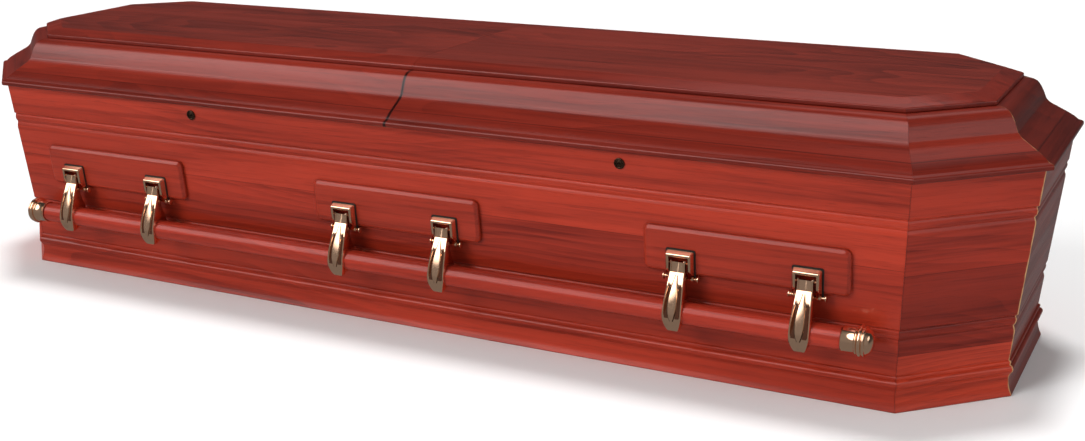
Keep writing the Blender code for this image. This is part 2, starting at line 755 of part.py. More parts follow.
def main():
    for leftover in list(bpy.data.objects):
        bpy.data.objects.remove(leftover)
    board = material("mahogany_board", (0.36, 0.055, 0.030), 0.35, 0.0)
    lid_board = material("mahogany_lid", (0.27, 0.040, 0.022), 0.32, 0.0)
    panel = material("mahogany_panel", (0.16, 0.028, 0.018), 0.32, 0.0)
    plate = material("mahogany_plaque", (0.33, 0.048, 0.027), 0.34, 0.0)
    floor = material("plain_floor_board", (0.42, 0.26, 0.14), 0.6, 0.0)
    bar_timber = material("bar_timber", (0.22, 0.030, 0.020), 0.38, 0.0)
    rose_gold = material("rose_gold_plate", (0.86, 0.56, 0.38), 0.12, 1.0)
    lock_metal = material("dark_bronze", (0.10, 0.055, 0.035), 0.35, 1.0)
    bumper = material("bumper_plastic", (0.80, 0.79, 0.76), 0.5, 0.0)
    make_walls(board)
    make_floor(floor)
    make_lid("left", -1, lid_board, panel)
    make_lid("right", 1, lid_board, panel)
    make_bumpers(bumper)
    make_plaques(plate)
    make_locks(lock_metal)
    make_handles(rose_gold, bar_timber)


main()
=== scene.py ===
"""Looks of a red mahogany funeral casket with rose gold handles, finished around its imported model."""

import json
import math

import bmesh
import bpy
from bpy.props import FloatProperty, FloatVectorProperty, IntProperty, PointerProperty
from mathutils import Matrix, Vector


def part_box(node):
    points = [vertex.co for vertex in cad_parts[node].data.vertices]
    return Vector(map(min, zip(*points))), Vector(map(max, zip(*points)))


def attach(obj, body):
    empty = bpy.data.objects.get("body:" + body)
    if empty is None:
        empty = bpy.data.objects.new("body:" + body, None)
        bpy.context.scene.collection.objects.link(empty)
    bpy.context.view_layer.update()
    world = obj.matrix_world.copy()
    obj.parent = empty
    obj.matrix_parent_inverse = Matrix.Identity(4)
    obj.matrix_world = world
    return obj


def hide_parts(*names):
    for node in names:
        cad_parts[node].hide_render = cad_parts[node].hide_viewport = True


bl_info = {
    "name": "Funeral casket looks",
    "version": (1, 0, 0),
    "blender": (4, 5, 0),
    "location": "View3D > Sidebar > Casket",
    "description": "Mouldings, handles and timber finishes of a funeral casket",
    "category": "Object",
}

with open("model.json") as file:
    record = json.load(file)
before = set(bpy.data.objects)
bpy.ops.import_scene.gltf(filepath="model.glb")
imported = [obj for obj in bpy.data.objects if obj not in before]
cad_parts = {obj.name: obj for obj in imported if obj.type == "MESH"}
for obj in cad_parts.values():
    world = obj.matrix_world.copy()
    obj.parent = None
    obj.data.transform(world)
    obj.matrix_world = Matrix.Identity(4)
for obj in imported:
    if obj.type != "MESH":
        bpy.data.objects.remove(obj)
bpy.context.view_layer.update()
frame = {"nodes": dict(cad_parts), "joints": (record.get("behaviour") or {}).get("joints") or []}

# Plan and heights, in metres: the rim comes from the frame, the rest are the casket's own sizes
RIM_LOW, RIM_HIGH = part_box("lid_frame_right")
HALF_LENGTH = RIM_HIGH.x
HALF_WIDTH = RIM_HIGH.y
RIM_HEIGHT = RIM_LOW.z
LID_TOP = RIM_HIGH.z
WALL_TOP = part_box("wall_front")[1].z
PANEL_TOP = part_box("lid_panel_right")[1].z
CORNER_ALONG = 0.1627
CORNER_ACROSS = 0.1566
BATTER = 0.102
LEAN = math.atan(BATTER)
WALL_TOP_INSET = 0.0105
WALL_THICKNESS = 0.02
MITRE_GAP = 0.00012
SEAM_GAP = 0.0006

# In the outlines below, a point's third number is 1 where the line turns sharply, and below 0 in a groove, to
# paint shade there, but the lengths never use a value below 0 from an outline, so no groove is painted. A
# reeded
# band: (in from the wall face, down from the band's top, that number)
BAND_TOPS = (0.3045, 0.1315)
REED_BAND = (
    (0.0, 0.0, 1), (0.0022, 0.002, 0), (0.0028, 0.0034, 0), (0.0018, 0.0056, 0), (0.0007, 0.0085, 0),
    (0.0006, 0.0112, 0), (0.0013, 0.0146, 0), (0.003, 0.0176, 0), (0.0034, 0.019, -2.2),
    (0.0022, 0.0216, 0), (0.0008, 0.025, 0), (0.0, 0.029, 1),
)

# The plinth: (out from the wall face, height, that number)
PLINTH = (
    (0.0, 0.056, 1), (0.0026, 0.0545, 0), (0.0034, 0.052, 0), (0.003, 0.0492, -1.4), (0.006, 0.0478, 0),
    (0.0086, 0.044, 0), (0.0084, 0.0392, 0), (0.0056, 0.0346, 0), (0.0042, 0.03, 0), (0.0046, 0.024, 0),
    (0.0078, 0.0126, 0), (0.0136, 0.0012, 1), (0.013, 0.0, 1),
)

# The lid frame's face: (in from the rim, up from its underside, that number)
LID_FACE = (
    (0.0015, 0.0, 1), (0.0003, 0.0016, 0), (0.0, 0.0036, 0), (0.0006, 0.0068, 0),
    (0.0026, 0.0087, -1.6), (0.008, 0.0102, 1), (0.0148, 0.0163, 0), (0.026, 0.0236, 0),
    (0.0395, 0.0315, 0), (0.051, 0.0385, 0), (0.057, 0.0445, 1), (0.06, 0.052, 0), (0.0632, 0.0595, 0),
    (0.0672, 0.067, 0), (0.0722, 0.0732, 0), (0.0785, 0.0768, 0), (0.086, 0.0784, 1),
)
LID_INSIDE = (
    (0.11, 0.0784), (0.11, 0.0634), (0.082, 0.0619), (0.0741, 0.0463), (0.0599, 0.0265),
    (0.0339, 0.0108), (0.0308, 0.0),
)

# The bevelled panel: (in from the rim, up from the frame's top, that number)
PANEL_RISE = PANEL_TOP - LID_TOP
PANEL_FACE = (
    (0.0932, 0.0003, 1), (0.0925, 0.0014, 0), (0.0924, 0.004, 0), (0.0927, 0.0064, 0),
    (0.0936, 0.0078, 0), (0.095, 0.0085, 0), (0.1205, PANEL_RISE - 0.0003, 0), (0.1216, PANEL_RISE, 1),
)

# Plaques, on the wall face
PLAQUE_LENGTH = 0.326
PLAQUE_WIDTH = 0.075
PLAQUE_CORNER = 0.01
PLAQUE_HEIGHT = 0.2115

# A plaque's edge, as (in from its outline, out from the wall)
PLAQUE_EDGE = (
    (0.0006, 0.0003), (0.0, 0.0012), (0.0, 0.0044), (0.0003, 0.0054), (0.001, 0.0062), (0.0046, 0.0093),
    (0.0054, 0.0098), (0.0064, 0.01),
)

# Stains, as (height from which it holds, tint), and the shares by which pieces differ from them. The end
# walls' and the lid's end tints are painted shade.
LONG_PLANKS = ((0.0, (1.04, 1.02, 1.0)), (0.092, (0.94, 0.9, 0.88)), (0.224, (1.0, 1.0, 1.0)))
CORNER_PLANKS = ((0.0, (1.32, 1.38, 1.3)), (0.088, (0.72, 0.64, 0.62)), (0.216, (0.98, 0.9, 0.84)))
LID_PLANKS = ((0.0, (0.78, 0.72, 0.7)), (RIM_HEIGHT + 0.0236, (1.0, 1.0, 1.0)))
PLANK_SHIFT = 3.7
PLANK_LINE = 0.0005
# Painted shade: the end walls are darkened by this share
END_SHADE_TINT = 0.55
END_SCUFFS = 0.4
SCUFF_COLOUR = (0.34, 0.17, 0.075)
# Painted shade: the lid's end and far corner lengths are darkened by the tint below
LID_SHADED = (2, 3)  # the lengths at the end and at the far corner
LID_SHADED_TINT = 0.72
PANEL_FLAT_RINGS = 4
PANEL_FIGURE = 1.6
PLAQUE_TINT = 0.86
PLAQUE_FIGURE = 1.8

# Locks: the plug in the face is (out from the wall, radius), and the key slot is (along, across)
LOCK_HEIGHT = 0.34
LOCK_RADIUS = 0.009
LOCK_BARREL = 0.0074
LOCK_DEPTH = 0.018
LOCK_PLUG = (
    (0.0024, 0.0066), (0.0021, 0.0061), (0.0009, 0.0059), (0.0009, 0.0052), (0.0014, 0.0048),
    (0.0016, 0.0042), (0.0016, 0.0),
)
LOCK_SLOT_HALF = (0.0034, 0.0007)
LOCK_SLOT_OUT = (0.0012, 0.00175)

# Handles: the pivot's place comes from the joint, the bar's from its node
PIVOT = Vector(next(joint["pos_m"] for joint in frame["joints"] if joint["child"] == "front_bar"))
BAR_LOW, BAR_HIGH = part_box("bar_front")
BAR_RADIUS = (BAR_HIGH.z - BAR_LOW.z) / 2
BAR_OUT = PIVOT.y - (BAR_LOW.y + BAR_HIGH.y) / 2
BAR_DOWN = PIVOT.z - (BAR_LOW.z + BAR_HIGH.z) / 2
BAR_HALF = BAR_HIGH.x
CAP_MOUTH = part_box("bar_cap_front_right")[0].x
ARM_TIP = PIVOT.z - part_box("arm_front_1")[0].z
PIVOT_OUT = 0.0055
REST_PIN_DROP = 0.0266
REST_PIN_OUT = 0.0004
REST_PIN_RADIUS = 0.0026
REST_PIN_BALL = 0.0172
REST_PIN_RING = 0.0246
REST_PIN_END = 0.0292
PIVOT_RADIUS = 0.002
KNUCKLE_RADIUS = 0.0042
BAR_SHOULDER = 0.0006
CAP_WALL = 0.0016
CAP_SLEEVE = 0.02
CAP_DOME = 0.0352
CAP_DOME_RISE = 0.01
HOOD_FRONT_HALF = 0.02
HOOD_TOP = 0.016
HOOD_TOP_SLOPE = 1.3
HOOD_CORNER = 0.0016
HOOD_LOW_FRONT = -0.008
HOOD_LOW_BACK = -0.0262
HOOD_SHOULDER = 0.0073
HOOD_DEPTH = 0.013

# The hood's moulding, as (out from the front face's edge, out from the plaque, 1 where the stretch to the
# next point is black)
HOOD_SECTION = (
    (0.0042, 0.0003, 1), (0.0042, 0.0013, 1), (0.0026, 0.0014, 1), (0.0025, 0.0009, 0),
    (0.0023, 0.0018, 0), (0.0007, 0.0112, 0), (0.0003, 0.0122, 0), (-0.0005, 0.0129, 0),
    (-0.001, 0.013, 0), (-0.0013, 0.0126, 0), (-0.0036, 0.0126, 0), (-0.0042, 0.0121, 0),
    (-0.0042, 0.008, 0), (0.0009, 0.0003, 0),
)

# The cap's beads: (start, end, foot, swell, steps) and the (x, foot) of the point after each
CAP_BEADS = (
    (0.0202, 0.0236, 0.001, 0.0014, 6, 0.024, 0.0012), (0.0244, 0.03, 0.003, 0.002, 10, 0.0305, 0.0024),
    (0.0309, 0.0344, 0.0024, 0.0014, 6, 0.035, 0.0006),
)

# How far the rings near a length's end stand from it, and how much of the end's wear they have
END_RINGS = ((0.0, 1.0), (0.0012, 0.75), (0.0034, 0.25), (0.01, 0.0))
ARRIS_WEAR = 0.35
REED_WEAR = 0.6
SHARP_FROM = math.radians(35)

# How worn the joint at each corner of the outline is, in the walls and in the lid. Below 0 it is a dark line.
WALL_JOINTS = (-0.4, 1.0, 1.0, -0.4, -0.4, 1.0, 1.0, -0.4)
LID_JOINTS = (-1.0, 0.3, 0.85, 0.85, 0.3, -1.0)

# The set: lights, floor, and soft boxes in reflections, as (direction, where the edge starts, share of the
# stage's strength)
KEY_PLACE = (-2.2, -3.2, 2.2)
OVERHEAD_PLACE = (-0.35, 0.75, 3.6)
OVERHEAD_SOFTNESS = 0.42
FILL_PLACE = (3.6, -0.6, 1.6)
FILL_TARGET = (0.9, 0.0, 0.2)
FILL_SIZE = (1.8, 1.4)
FLOOR_REACH = 30.0
FLOOR_DROP = 0.0005
SOFT_BOXES = (((-0.45, -0.6, 0.66), 0.87, 1.0), ((-0.02, 0.52, 0.854), 0.92, 0.3))
SOFT_BOX_EDGE = 0.08
FLOOR_COLOUR = (0.9, 0.9, 0.9)
FLOOR_ROUGHNESS = 0.85
SQUARE = ((-1, -1), (1, -1), (1, 1), (-1, 1))

SIDES = {"front": 0.0, "back": math.pi}
WALL_NAMES = (
    "corner_front_right", "end_right", "corner_back_right", "back", "corner_back_left", "end_left",
    "corner_front_left", "front",
)

# What every colour property shares
COLOUR = {"subtype": "COLOR", "size": 3, "min": 0, "max": 1}


class CasketTimber(bpy.types.PropertyGroup):
    """Stains and lacquer of the timber."""

    board_dark: FloatVectorProperty(
        name="Board, dark", description="Dark streaks of the walls",
        default=(0.13, 0.0085, 0.0036), **COLOUR,
    )
    board_light: FloatVectorProperty(
        name="Board, light", description="Light streaks of the walls",
        default=(0.49, 0.043, 0.0175), **COLOUR,
    )
    lid_dark: FloatVectorProperty(
        name="Lid, dark", description="Dark streaks of the mouldings",
        default=(0.07, 0.005, 0.0026), **COLOUR,
    )
    lid_light: FloatVectorProperty(
        name="Lid, light", description="Light streaks of the mouldings",
        default=(0.262, 0.024, 0.0118), **COLOUR,
    )
    panel_dark: FloatVectorProperty(
        name="Panel, dark", description="Dark streaks of the top panel",
        default=(0.06, 0.0055, 0.003), **COLOUR,
    )
    panel_light: FloatVectorProperty(
        name="Panel, light", description="Light streaks of the top panel",
        default=(0.29, 0.032, 0.0175), **COLOUR,
    )
    bar_dark: FloatVectorProperty(
        name="Bar, dark", description="Dark streaks of the bars", default=(0.14, 0.0095, 0.0046), **COLOUR,
    )
    bar_light: FloatVectorProperty(
        name="Bar, light", description="Light streaks of the bars",
        default=(0.47, 0.039, 0.018), **COLOUR,
    )
    floor_dark: FloatVectorProperty(
        name="Floor board, dark", description="Dark streaks of the bare floor board",
        default=(0.3, 0.17, 0.085), **COLOUR,
    )
    floor_light: FloatVectorProperty(
        name="Floor board, light", description="Light streaks of the bare floor board",
        default=(0.52, 0.34, 0.19), **COLOUR,
    )
    worn: FloatVectorProperty(
        name="Worn edge", description="Pale timber where the lacquer is rubbed through",
        default=(0.52, 0.29, 0.13), **COLOUR,
    )
    roughness: FloatProperty(
        name="Roughness", description="Roughness of the lacquered timber", subtype="FACTOR", min=0, max=1,
        default=0.34,
    )
    lacquer: FloatProperty(
        name="Lacquer", description="Weight of the clear coat", subtype="FACTOR", min=0, max=1,
        default=0.3,
    )


class CasketHardware(bpy.types.PropertyGroup):
    """Plating of the handles and locks, and how finely they are turned."""

    plate: FloatVectorProperty(
        name="Plate", description="Colour of the rose gold plate", default=(0.9, 0.56, 0.37), **COLOUR,
    )
    bronze: FloatVectorProperty(
        name="Bronze", description="Colour of the locks", default=(0.1, 0.055, 0.035), **COLOUR,
    )
    polish: FloatProperty(
        name="Polish", description="Roughness of the plated metal", subtype="FACTOR", min=0, max=1,
        default=0.11,
    )
    sides: IntProperty(name="Sides", description="Facets round a turned piece", min=12, max=128, default=48)


class CasketStage(bpy.types.PropertyGroup):
    """Camera, lights, and how bright the studio looks in reflections."""

    eye: FloatVectorProperty(
        name="Camera", description="The camera's place", subtype="TRANSLATION", unit="LENGTH", size=3,
        default=(1.2889, -2.2392, 0.8974),
    )
    azimuth: FloatProperty(
        name="Azimuth", description="Which way the camera looks, from +Y towards -X", subtype="ANGLE",
        default=math.radians(27.365),
    )
    elevation: FloatProperty(
        name="Elevation", description="How far the camera looks down", subtype="ANGLE",
        default=math.radians(16.934),
    )
    roll: FloatProperty(
        name="Roll", description="The camera's tilt to the side", subtype="ANGLE",
        default=math.radians(-0.85),
    )
    lens: FloatProperty(
        name="Lens", description="Focal length in millimetres on a 36 mm sensor", min=10, max=300,
        default=47.66,
    )
    key: FloatProperty(name="Key light", description="Strength of the slanting light", min=0, default=1.9)
    overhead: FloatProperty(
        name="Overhead light", description="Strength of the light that casts the shadow in front", min=0,
        default=1.9,
    )
    softness: FloatProperty(
        name="Softness", description="How wide the slanting light looks", subtype="ANGLE", min=0,
        default=math.radians(28),
    )
    fill: FloatProperty(
        name="Fill light", description="Power of the side light", unit="POWER", min=0, default=11.0,
    )
    ambient: FloatProperty(name="Ambient", description="Light from all round", min=0, default=0.37)
    room_shown: FloatProperty(
        name="Room in reflections", description="How bright the walls of the room look in reflections", min=0,
        default=0.05,
    )
    floor_shown: FloatProperty(
        name="Floor in reflections", description="How bright the floor looks in reflections", min=0,
        default=0.2,
    )
    box_shown: FloatProperty(
        name="Soft box in reflections", description="How bright the soft box looks in reflections", min=0,
        default=4.0,
    )
    front_shown: FloatProperty(
        name="Front in reflections", description="How bright the room in front looks in reflections", min=0,
        default=0.24,
    )


def outline(inset):
    """The casket's eight corners in plan, moved in by the inset, anticlockwise from the front right."""
    normal = Vector((CORNER_ACROSS, -CORNER_ALONG)).normalized()
    reach = normal.dot(Vector((HALF_LENGTH - CORNER_ALONG, -HALF_WIDTH))) - inset
    side_y = -(HALF_WIDTH - inset)
    side_x = (reach - normal.y * side_y) / normal.x
    end_x = HALF_LENGTH - inset
    end_y = (reach - normal.x * end_x) / normal.y
    right = [Vector(spot) for spot in ((side_x, side_y), (end_x, end_y), (end_x, -end_y), (side_x, -side_y))]
    return right + [Vector((-spot.x, spot.y)) for spot in reversed(right)]


def half_plan(inset, sign, seam):
    """The six corners in plan of the lid's right or left half, where the first and last are on the seam."""
    points = outline(inset)
    spots = [Vector((seam, points[0].y)), *points[:4], Vector((seam, points[3].y))]
    return [Vector((sign * spot.x, spot.y)) for spot in spots]


def wall_inset(height):
    """How far the wall's plain outer face is inset from the rim at a height."""
    return WALL_TOP_INSET + (RIM_HEIGHT - height) * BATTER


def wall_point(height, out):
    """(y, z) of a point that stands out square from the front wall's face at a height."""
    face_y = -(HALF_WIDTH - wall_inset(height))
    return face_y - out * math.cos(LEAN), height - out * math.sin(LEAN)


def eased(points, steps=4):
    """A smooth line through (inset, height, sharp) points, as (inset, height, wear); below 0 it stands for
    painted groove shade.
    """
    line = []
    for i in range(len(points) - 1):
        here, after = Vector(points[i][:2]), Vector(points[i + 1][:2])
        leave = after - here
        arrive = after - here
        if not points[i][2] and i > 0:
            leave = (after - Vector(points[i - 1][:2])) / 2
        if not points[i + 1][2] and i + 2 < len(points):
            arrive = (Vector(points[i + 2][:2]) - here) / 2
        line.append((here.x, here.y, ARRIS_WEAR * points[i][2]))
        for step in range(1, steps):
            t = step / steps
            spot = (
                here * (2 * t**3 - 3 * t**2 + 1)
                + leave * (t**3 - 2 * t**2 + t)
                + after * (3 * t**2 - 2 * t**3)
                + arrive * (t**3 - t**2)
            )
            within = [min(max(v, min(a, b)), max(a, b)) for v, a, b in zip(spot, here, after)]
            line.append((*within, 0.0))
    line.append((*points[-1][:2], ARRIS_WEAR * points[-1][2]))
    return line


def sweep_length(builder, profile, start, end, finish=0, joints=(1.0, 1.0)):
    """One closed length of moulding between two corners. start and end give a corner's place for an inset."""
    wear = builder.verts.layers.float["wear"]
    run = (end(0.0) - start(0.0)).normalized()
    rings = []
    ends = ((start, 1, END_RINGS, joints[0]), (end, -1, tuple(reversed(END_RINGS)), joints[1]))
    for corner, sign, steps, joint in ends:
        for along, share in steps:
            worn = share * joint
            ring = []
            for inset, height, arris in profile:
                spot = corner(inset) + run * sign * (along + MITRE_GAP)
                vert = builder.verts.new((spot.x, spot.y, height))
                vert[wear] = worn if worn < 0 else max(worn, arris)
                ring.append(vert)
            rings.append(ring)
    skin(builder, rings, finish)


def skin(builder, rings, finish=0, strips=None):
    """Quads between rings of equal count, and a face over each end. strips may hold each strip's finish."""
    count = len(rings[0])
    for low, high in zip(rings, rings[1:]):
        for i in range(count):
            j = (i + 1) % count
            face = builder.faces.new((low[i], low[j], high[j], high[i]))
            face.material_index = strips[i] if strips else finish
    for ring in (rings[0], rings[-1]):
        builder.faces.new(ring).material_index = finish


def new_builder():
    """An empty bmesh whose points carry their wear."""
    builder = bmesh.new()
    builder.verts.layers.float.new("wear")
    return builder


def turn_profile(builder, profile, sides, place):
    """Turns (x, radius) points about the X axis and puts them in place. Both ends lie on the axis."""
    rows = []
    for x, radius in profile:
        row = []
        for i in range(sides if radius > 0 else 1):
            angle = 2 * math.pi * i / sides
            spot = Vector((x, radius * math.cos(angle), radius * math.sin(angle)))
            row.append(builder.verts.new(place @ spot))
        rows.append(row)
    for low, high in zip(rows, rows[1:]):
        for i in range(sides):
            j = (i + 1) % sides
            corners = [low[i % len(low)], low[j % len(low)], high[j % len(high)], high[i % len(high)]]
            builder.faces.new(list(dict.fromkeys(corners)))


def mirrored(half):
    """A turned profile's right half, with its mirror image before it."""
    return [(-x, radius) for x, radius in reversed(half) if x > 0] + half


def rounded_step(x_from, x_to, radius_from, radius_to, steps=4):
    """A quarter-round from one (x, radius) point to another, leaving along X."""
    points = []
    for step in range(steps + 1):
        angle = math.pi / 2 * step / steps
        x = x_from + (x_to - x_from) * math.sin(angle)
        points.append((x, radius_to + (radius_from - radius_to) * math.cos(angle)))
    return points


def add_piece(builder, finishes, node, kind, body):
    """A piece that stands for a node and rides on its body."""
    name = f"{node}_{kind}"
    bmesh.ops.recalc_face_normals(builder, faces=builder.faces)
    mesh = bpy.data.meshes.new(name)
    builder.to_mesh(mesh)
    builder.free()
    mesh.shade_smooth()
    mesh.set_sharp_from_angle(angle=SHARP_FROM)
    for finish in finishes:
        mesh.materials.append(finish)
    piece = bpy.data.objects.new(name, mesh)
    bpy.context.scene.collection.objects.link(piece)
    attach(piece, body)
    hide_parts(node)


class NodeBench:
    """Adds nodes to a material's or the world's tree."""

    def __init__(self, tree):
        self.tree = tree

    def put(self, kind, inputs=None, **settings):
        """Adds a node. An input's value is a number, a colour or another node's output."""
        made = self.tree.nodes.new(kind)
        for key, value in settings.items():
            setattr(made, key, value)
        for key, value in (inputs or {}).items():
            self.feed(made.inputs[key], value)
        return made

    def feed(self, socket, value):
        """Links a node's output to the socket, or sets the socket's value."""
        if isinstance(value, bpy.types.NodeSocket):
            self.tree.links.new(value, socket)
        else:
            socket.default_value = (*value, 1.0) if socket.type == "RGBA" else value

    def maths(self, operation, first, second=0.0, third=0.0):
        """The result of a sum on up to three numbers."""
        return self.put("ShaderNodeMath", {0: first, 1: second, 2: third}, operation=operation).outputs[0]

    def plus(self, base, value, weight):
        """base and weight times value, added."""
        return self.maths("MULTIPLY_ADD", value, weight, base)

    def vectors(self, operation, first, second):
        """The outputs of a sum on two vectors."""
        return self.put("ShaderNodeVectorMath", {0: first, 1: second}, operation=operation).outputs

    def noise(self, vector, scale, detail=2.0, roughness=0.5, distortion=0.0):
        """Cloudy noise. scale says how fine it is along each axis."""
        inputs = {"Vector": self.vectors("MULTIPLY", vector, scale)[0], "Scale": 1.0, "Detail": detail}
        inputs |= {"Roughness": roughness, "Distortion": distortion}
        return self.put("ShaderNodeTexNoise", inputs).outputs["Fac"]

    def span(self, value, low, high, to_low=0.0, to_high=1.0):
        """Maps a value's range smoothly to another."""
        inputs = {"Value": value, "From Min": low, "From Max": high, "To Min": to_low, "To Max": to_high}
        return self.put("ShaderNodeMapRange", inputs, interpolation_type="SMOOTHSTEP").outputs["Result"]

    def blend(self, factor, first, second, mode="MIX"):
        """Mixes two colours."""
        made = self.put("ShaderNodeMix", {"Factor": factor}, data_type="RGBA", blend_type=mode)
        for socket, value in zip((s for s in made.inputs if s.type == "RGBA"), (first, second)):
            self.feed(socket, value)
        return next(s for s in made.outputs if s.type == "RGBA")


class Finish(NodeBench):
    """The nodes of one new material."""

    def __init__(self, name):
        self.material = bpy.data.materials.new(name)
        self.material.use_nodes = True
        super().__init__(self.material.node_tree)

    def place(self):
        """The point's place on the piece."""
        return self.put("ShaderNodeTexCoord").outputs["Object"]

    def cover(self, inputs, height=None, strength=0.0, distance=0.0):
        """Feeds the shader's inputs, bumped by a height, and gives the material."""
        if height is not None:
            bump = self.put("ShaderNodeBump", {"Height": height, "Strength": strength, "Distance": distance})
            inputs["Normal"] = bump.outputs["Normal"]
        for key, value in inputs.items():
            self.feed(self.tree.nodes["Principled BSDF"].inputs[key], value)
        return self.material


def shade(colour, amount):
    """The colour with each of its parts times an amount."""
    return [c * amount for c in colour]


def timber(name, stain, tint=1.0, along=0.0, seed=0.0, planks=(), scuffs=0.0, worn_share=0.5, figure=1.0):
    """Lacquered mahogany, its grain at an angle in plan. planks are (height, tint), the lowest first."""
    settings = bpy.context.scene.casket_timber
    dark, light = (shade(getattr(settings, f"{stain}_{part}"), tint) for part in ("dark", "light"))
    bench = Finish(name)
    place = bench.place()
    offset = (seed, 0.37 * seed, 0.11 * seed)
    cut = {"Vector": place, "Rotation": (0, 0, -along), "Location": offset}
    grain = bench.put("ShaderNodeMapping", cut).outputs["Vector"]
    height = bench.put("ShaderNodeSeparateXYZ", {"Vector": place}).outputs["Z"]
    if planks:
        # Each plank is another cut of timber: its grain is shifted, and its stain has a tint
        shift = 0.0
        for level, _ in planks[1:]:
            shift = bench.maths("ADD", bench.maths("GREATER_THAN", height, level), shift)
        moved = bench.put("ShaderNodeCombineXYZ", {"X": bench.maths("MULTIPLY", shift, PLANK_SHIFT)})
        grain = bench.vectors("ADD", grain, moved.outputs[0])[0]

    broad = bench.noise(grain, (1.1, 9.0, 11.0), 3.0, 0.55, 0.4)
    figured = {"Vector": bench.vectors("MULTIPLY", grain, (0.3, 1.0, 1.0))[0], "Scale": 20.0, "Detail": 2.0}
    figured |= {"Distortion": 58.0, "Detail Scale": 0.2, "Detail Roughness": 0.45}
    arches = bench.put(
        "ShaderNodeTexWave", figured, wave_type="BANDS", bands_direction="Z", wave_profile="SAW",
    ).outputs["Fac"]
    shown = bench.span(bench.noise(grain, (1.3, 5.0, 6.0), 1.0), 0.42, 0.62, 0.03, 0.22 * figure)
    lines = bench.span(bench.noise(grain, (2.4, 105.0, 125.0), 3.0, 0.62, 0.2), 0.47, 0.66)
    veins = bench.span(bench.noise(grain, (1.6, 34.0, 42.0), 4.0, 0.65, 0.6), 0.54, 0.7)
    fibres = bench.noise(grain, (9.0, 420.0, 460.0), 3.0, 0.6)
    pores = bench.span(bench.noise(grain, (26.0, 900.0, 1000.0), 1.0, 0.5), 0.6, 0.72)

    # The stain, from the dark streaks' colour at 0 to the light streaks' at 1
    tone = bench.plus(0.37, bench.span(broad, 0.28, 0.72), 0.32)
    tone = bench.plus(tone, bench.maths("MULTIPLY", arches, shown), -1.0)
    for streaks, weight in ((lines, -0.2), (veins, -0.2), (fibres, 0.22)):
        tone = bench.plus(tone, streaks, weight)
    stained = bench.blend(tone, dark, light)
    stained = bench.blend(bench.maths("MULTIPLY", pores, 0.3), stained, shade(dark, 0.45))
    colour = stained
    for index, (level, plank_tint) in enumerate(planks):
        tinted = bench.blend(1.0, stained, plank_tint, "MULTIPLY")
        if index == 0:
            colour = tinted
            continue
        colour = bench.blend(bench.maths("GREATER_THAN", height, level), colour, tinted)
        joint = bench.maths("ABSOLUTE", bench.maths("SUBTRACT", height, level))
        line = bench.maths("LESS_THAN", joint, PLANK_LINE)
        colour = bench.blend(bench.maths("MULTIPLY", line, 0.55), colour, shade(dark, 0.4))

    # Lacquer is rubbed off where wear is above 0, and a joint is dark where it is below 0
    wear = bench.put("ShaderNodeAttribute", attribute_name="wear").outputs["Fac"]
    rubbed = bench.maths("MULTIPLY", bench.noise(place, (60.0, 60.0, 60.0), 3.0, 0.6), 0.5)
    rubbed = bench.span(bench.plus(rubbed, wear, worn_share), 0.58, 0.84)
    colour = bench.blend(rubbed, colour, settings.worn)
    colour = bench.blend(bench.span(wear, -0.75, -0.2, 0.92, 0.0), colour, shade(dark, 0.12))
    if scuffs:
        scratches = bench.noise(place, (60.0, 55.0, 9.0), 3.0, 0.7, 1.5)
        colour = bench.blend(bench.span(scratches, 0.62, 0.74, 0.0, scuffs), colour, SCUFF_COLOUR)

    rough = bench.span(bench.noise(grain, (3.0, 30.0, 30.0), 3.0), 0.2, 0.8, -0.06, 0.08)
    rough = bench.plus(bench.maths("ADD", rough, settings.roughness), rubbed, 0.25)
    relief = bench.plus(bench.maths("MULTIPLY", fibres, 0.5), pores, -0.7)
    relief = bench.plus(relief, lines, -0.5)
    inputs = {"Base Color": colour, "Roughness": rough, "Specular IOR Level": 0.2}
    inputs |= {"Coat Weight": settings.lacquer, "Coat Roughness": 0.12}
    return bench.cover(inputs, relief, 0.22, 0.0006)


def polished_metal(name, colour, roughness, tarnish):
    """Plated or cast metal, with faint smears in its polish and darker clouds of tarnish."""
    bench = Finish(name)
    place = bench.place()
    clouds = bench.noise(place, (55.0, 55.0, 55.0), 4.0, 0.6)
    smears = bench.noise(place, (420.0, 120.0, 260.0), 3.0, 0.6, 0.6)
    stain = bench.span(clouds, 0.5, 0.8, 0.0, tarnish)
    stained = bench.blend(stain, colour, shade(colour, 0.45))
    rough = bench.span(smears, 0.3, 0.8, roughness * 0.7, roughness * 1.6)
    rough = bench.plus(rough, stain, 0.25)
    return bench.cover({"Base Color": stained, "Metallic": 1.0, "Roughness": rough}, smears, 0.05, 0.0003)


def moulded(name, colour):
    """Plastic or rubber with a faint mottle."""
    bench = Finish(name)
    mottle = bench.noise(bench.place(), (300.0, 300.0, 300.0), 3.0)
    mottled = bench.blend(bench.span(mottle, 0.3, 0.7), shade(colour, 0.86), colour)
    rough = bench.span(mottle, 0.2, 0.8, 0.42, 0.55)
    return bench.cover({"Base Color": mottled, "Roughness": rough}, mottle, 0.1, 0.0002)


def run_angle(start, end):
    """Which way a length between two corners runs, in plan."""
    run = end(0.0) - start(0.0)
    return math.atan2(run.y, run.x)


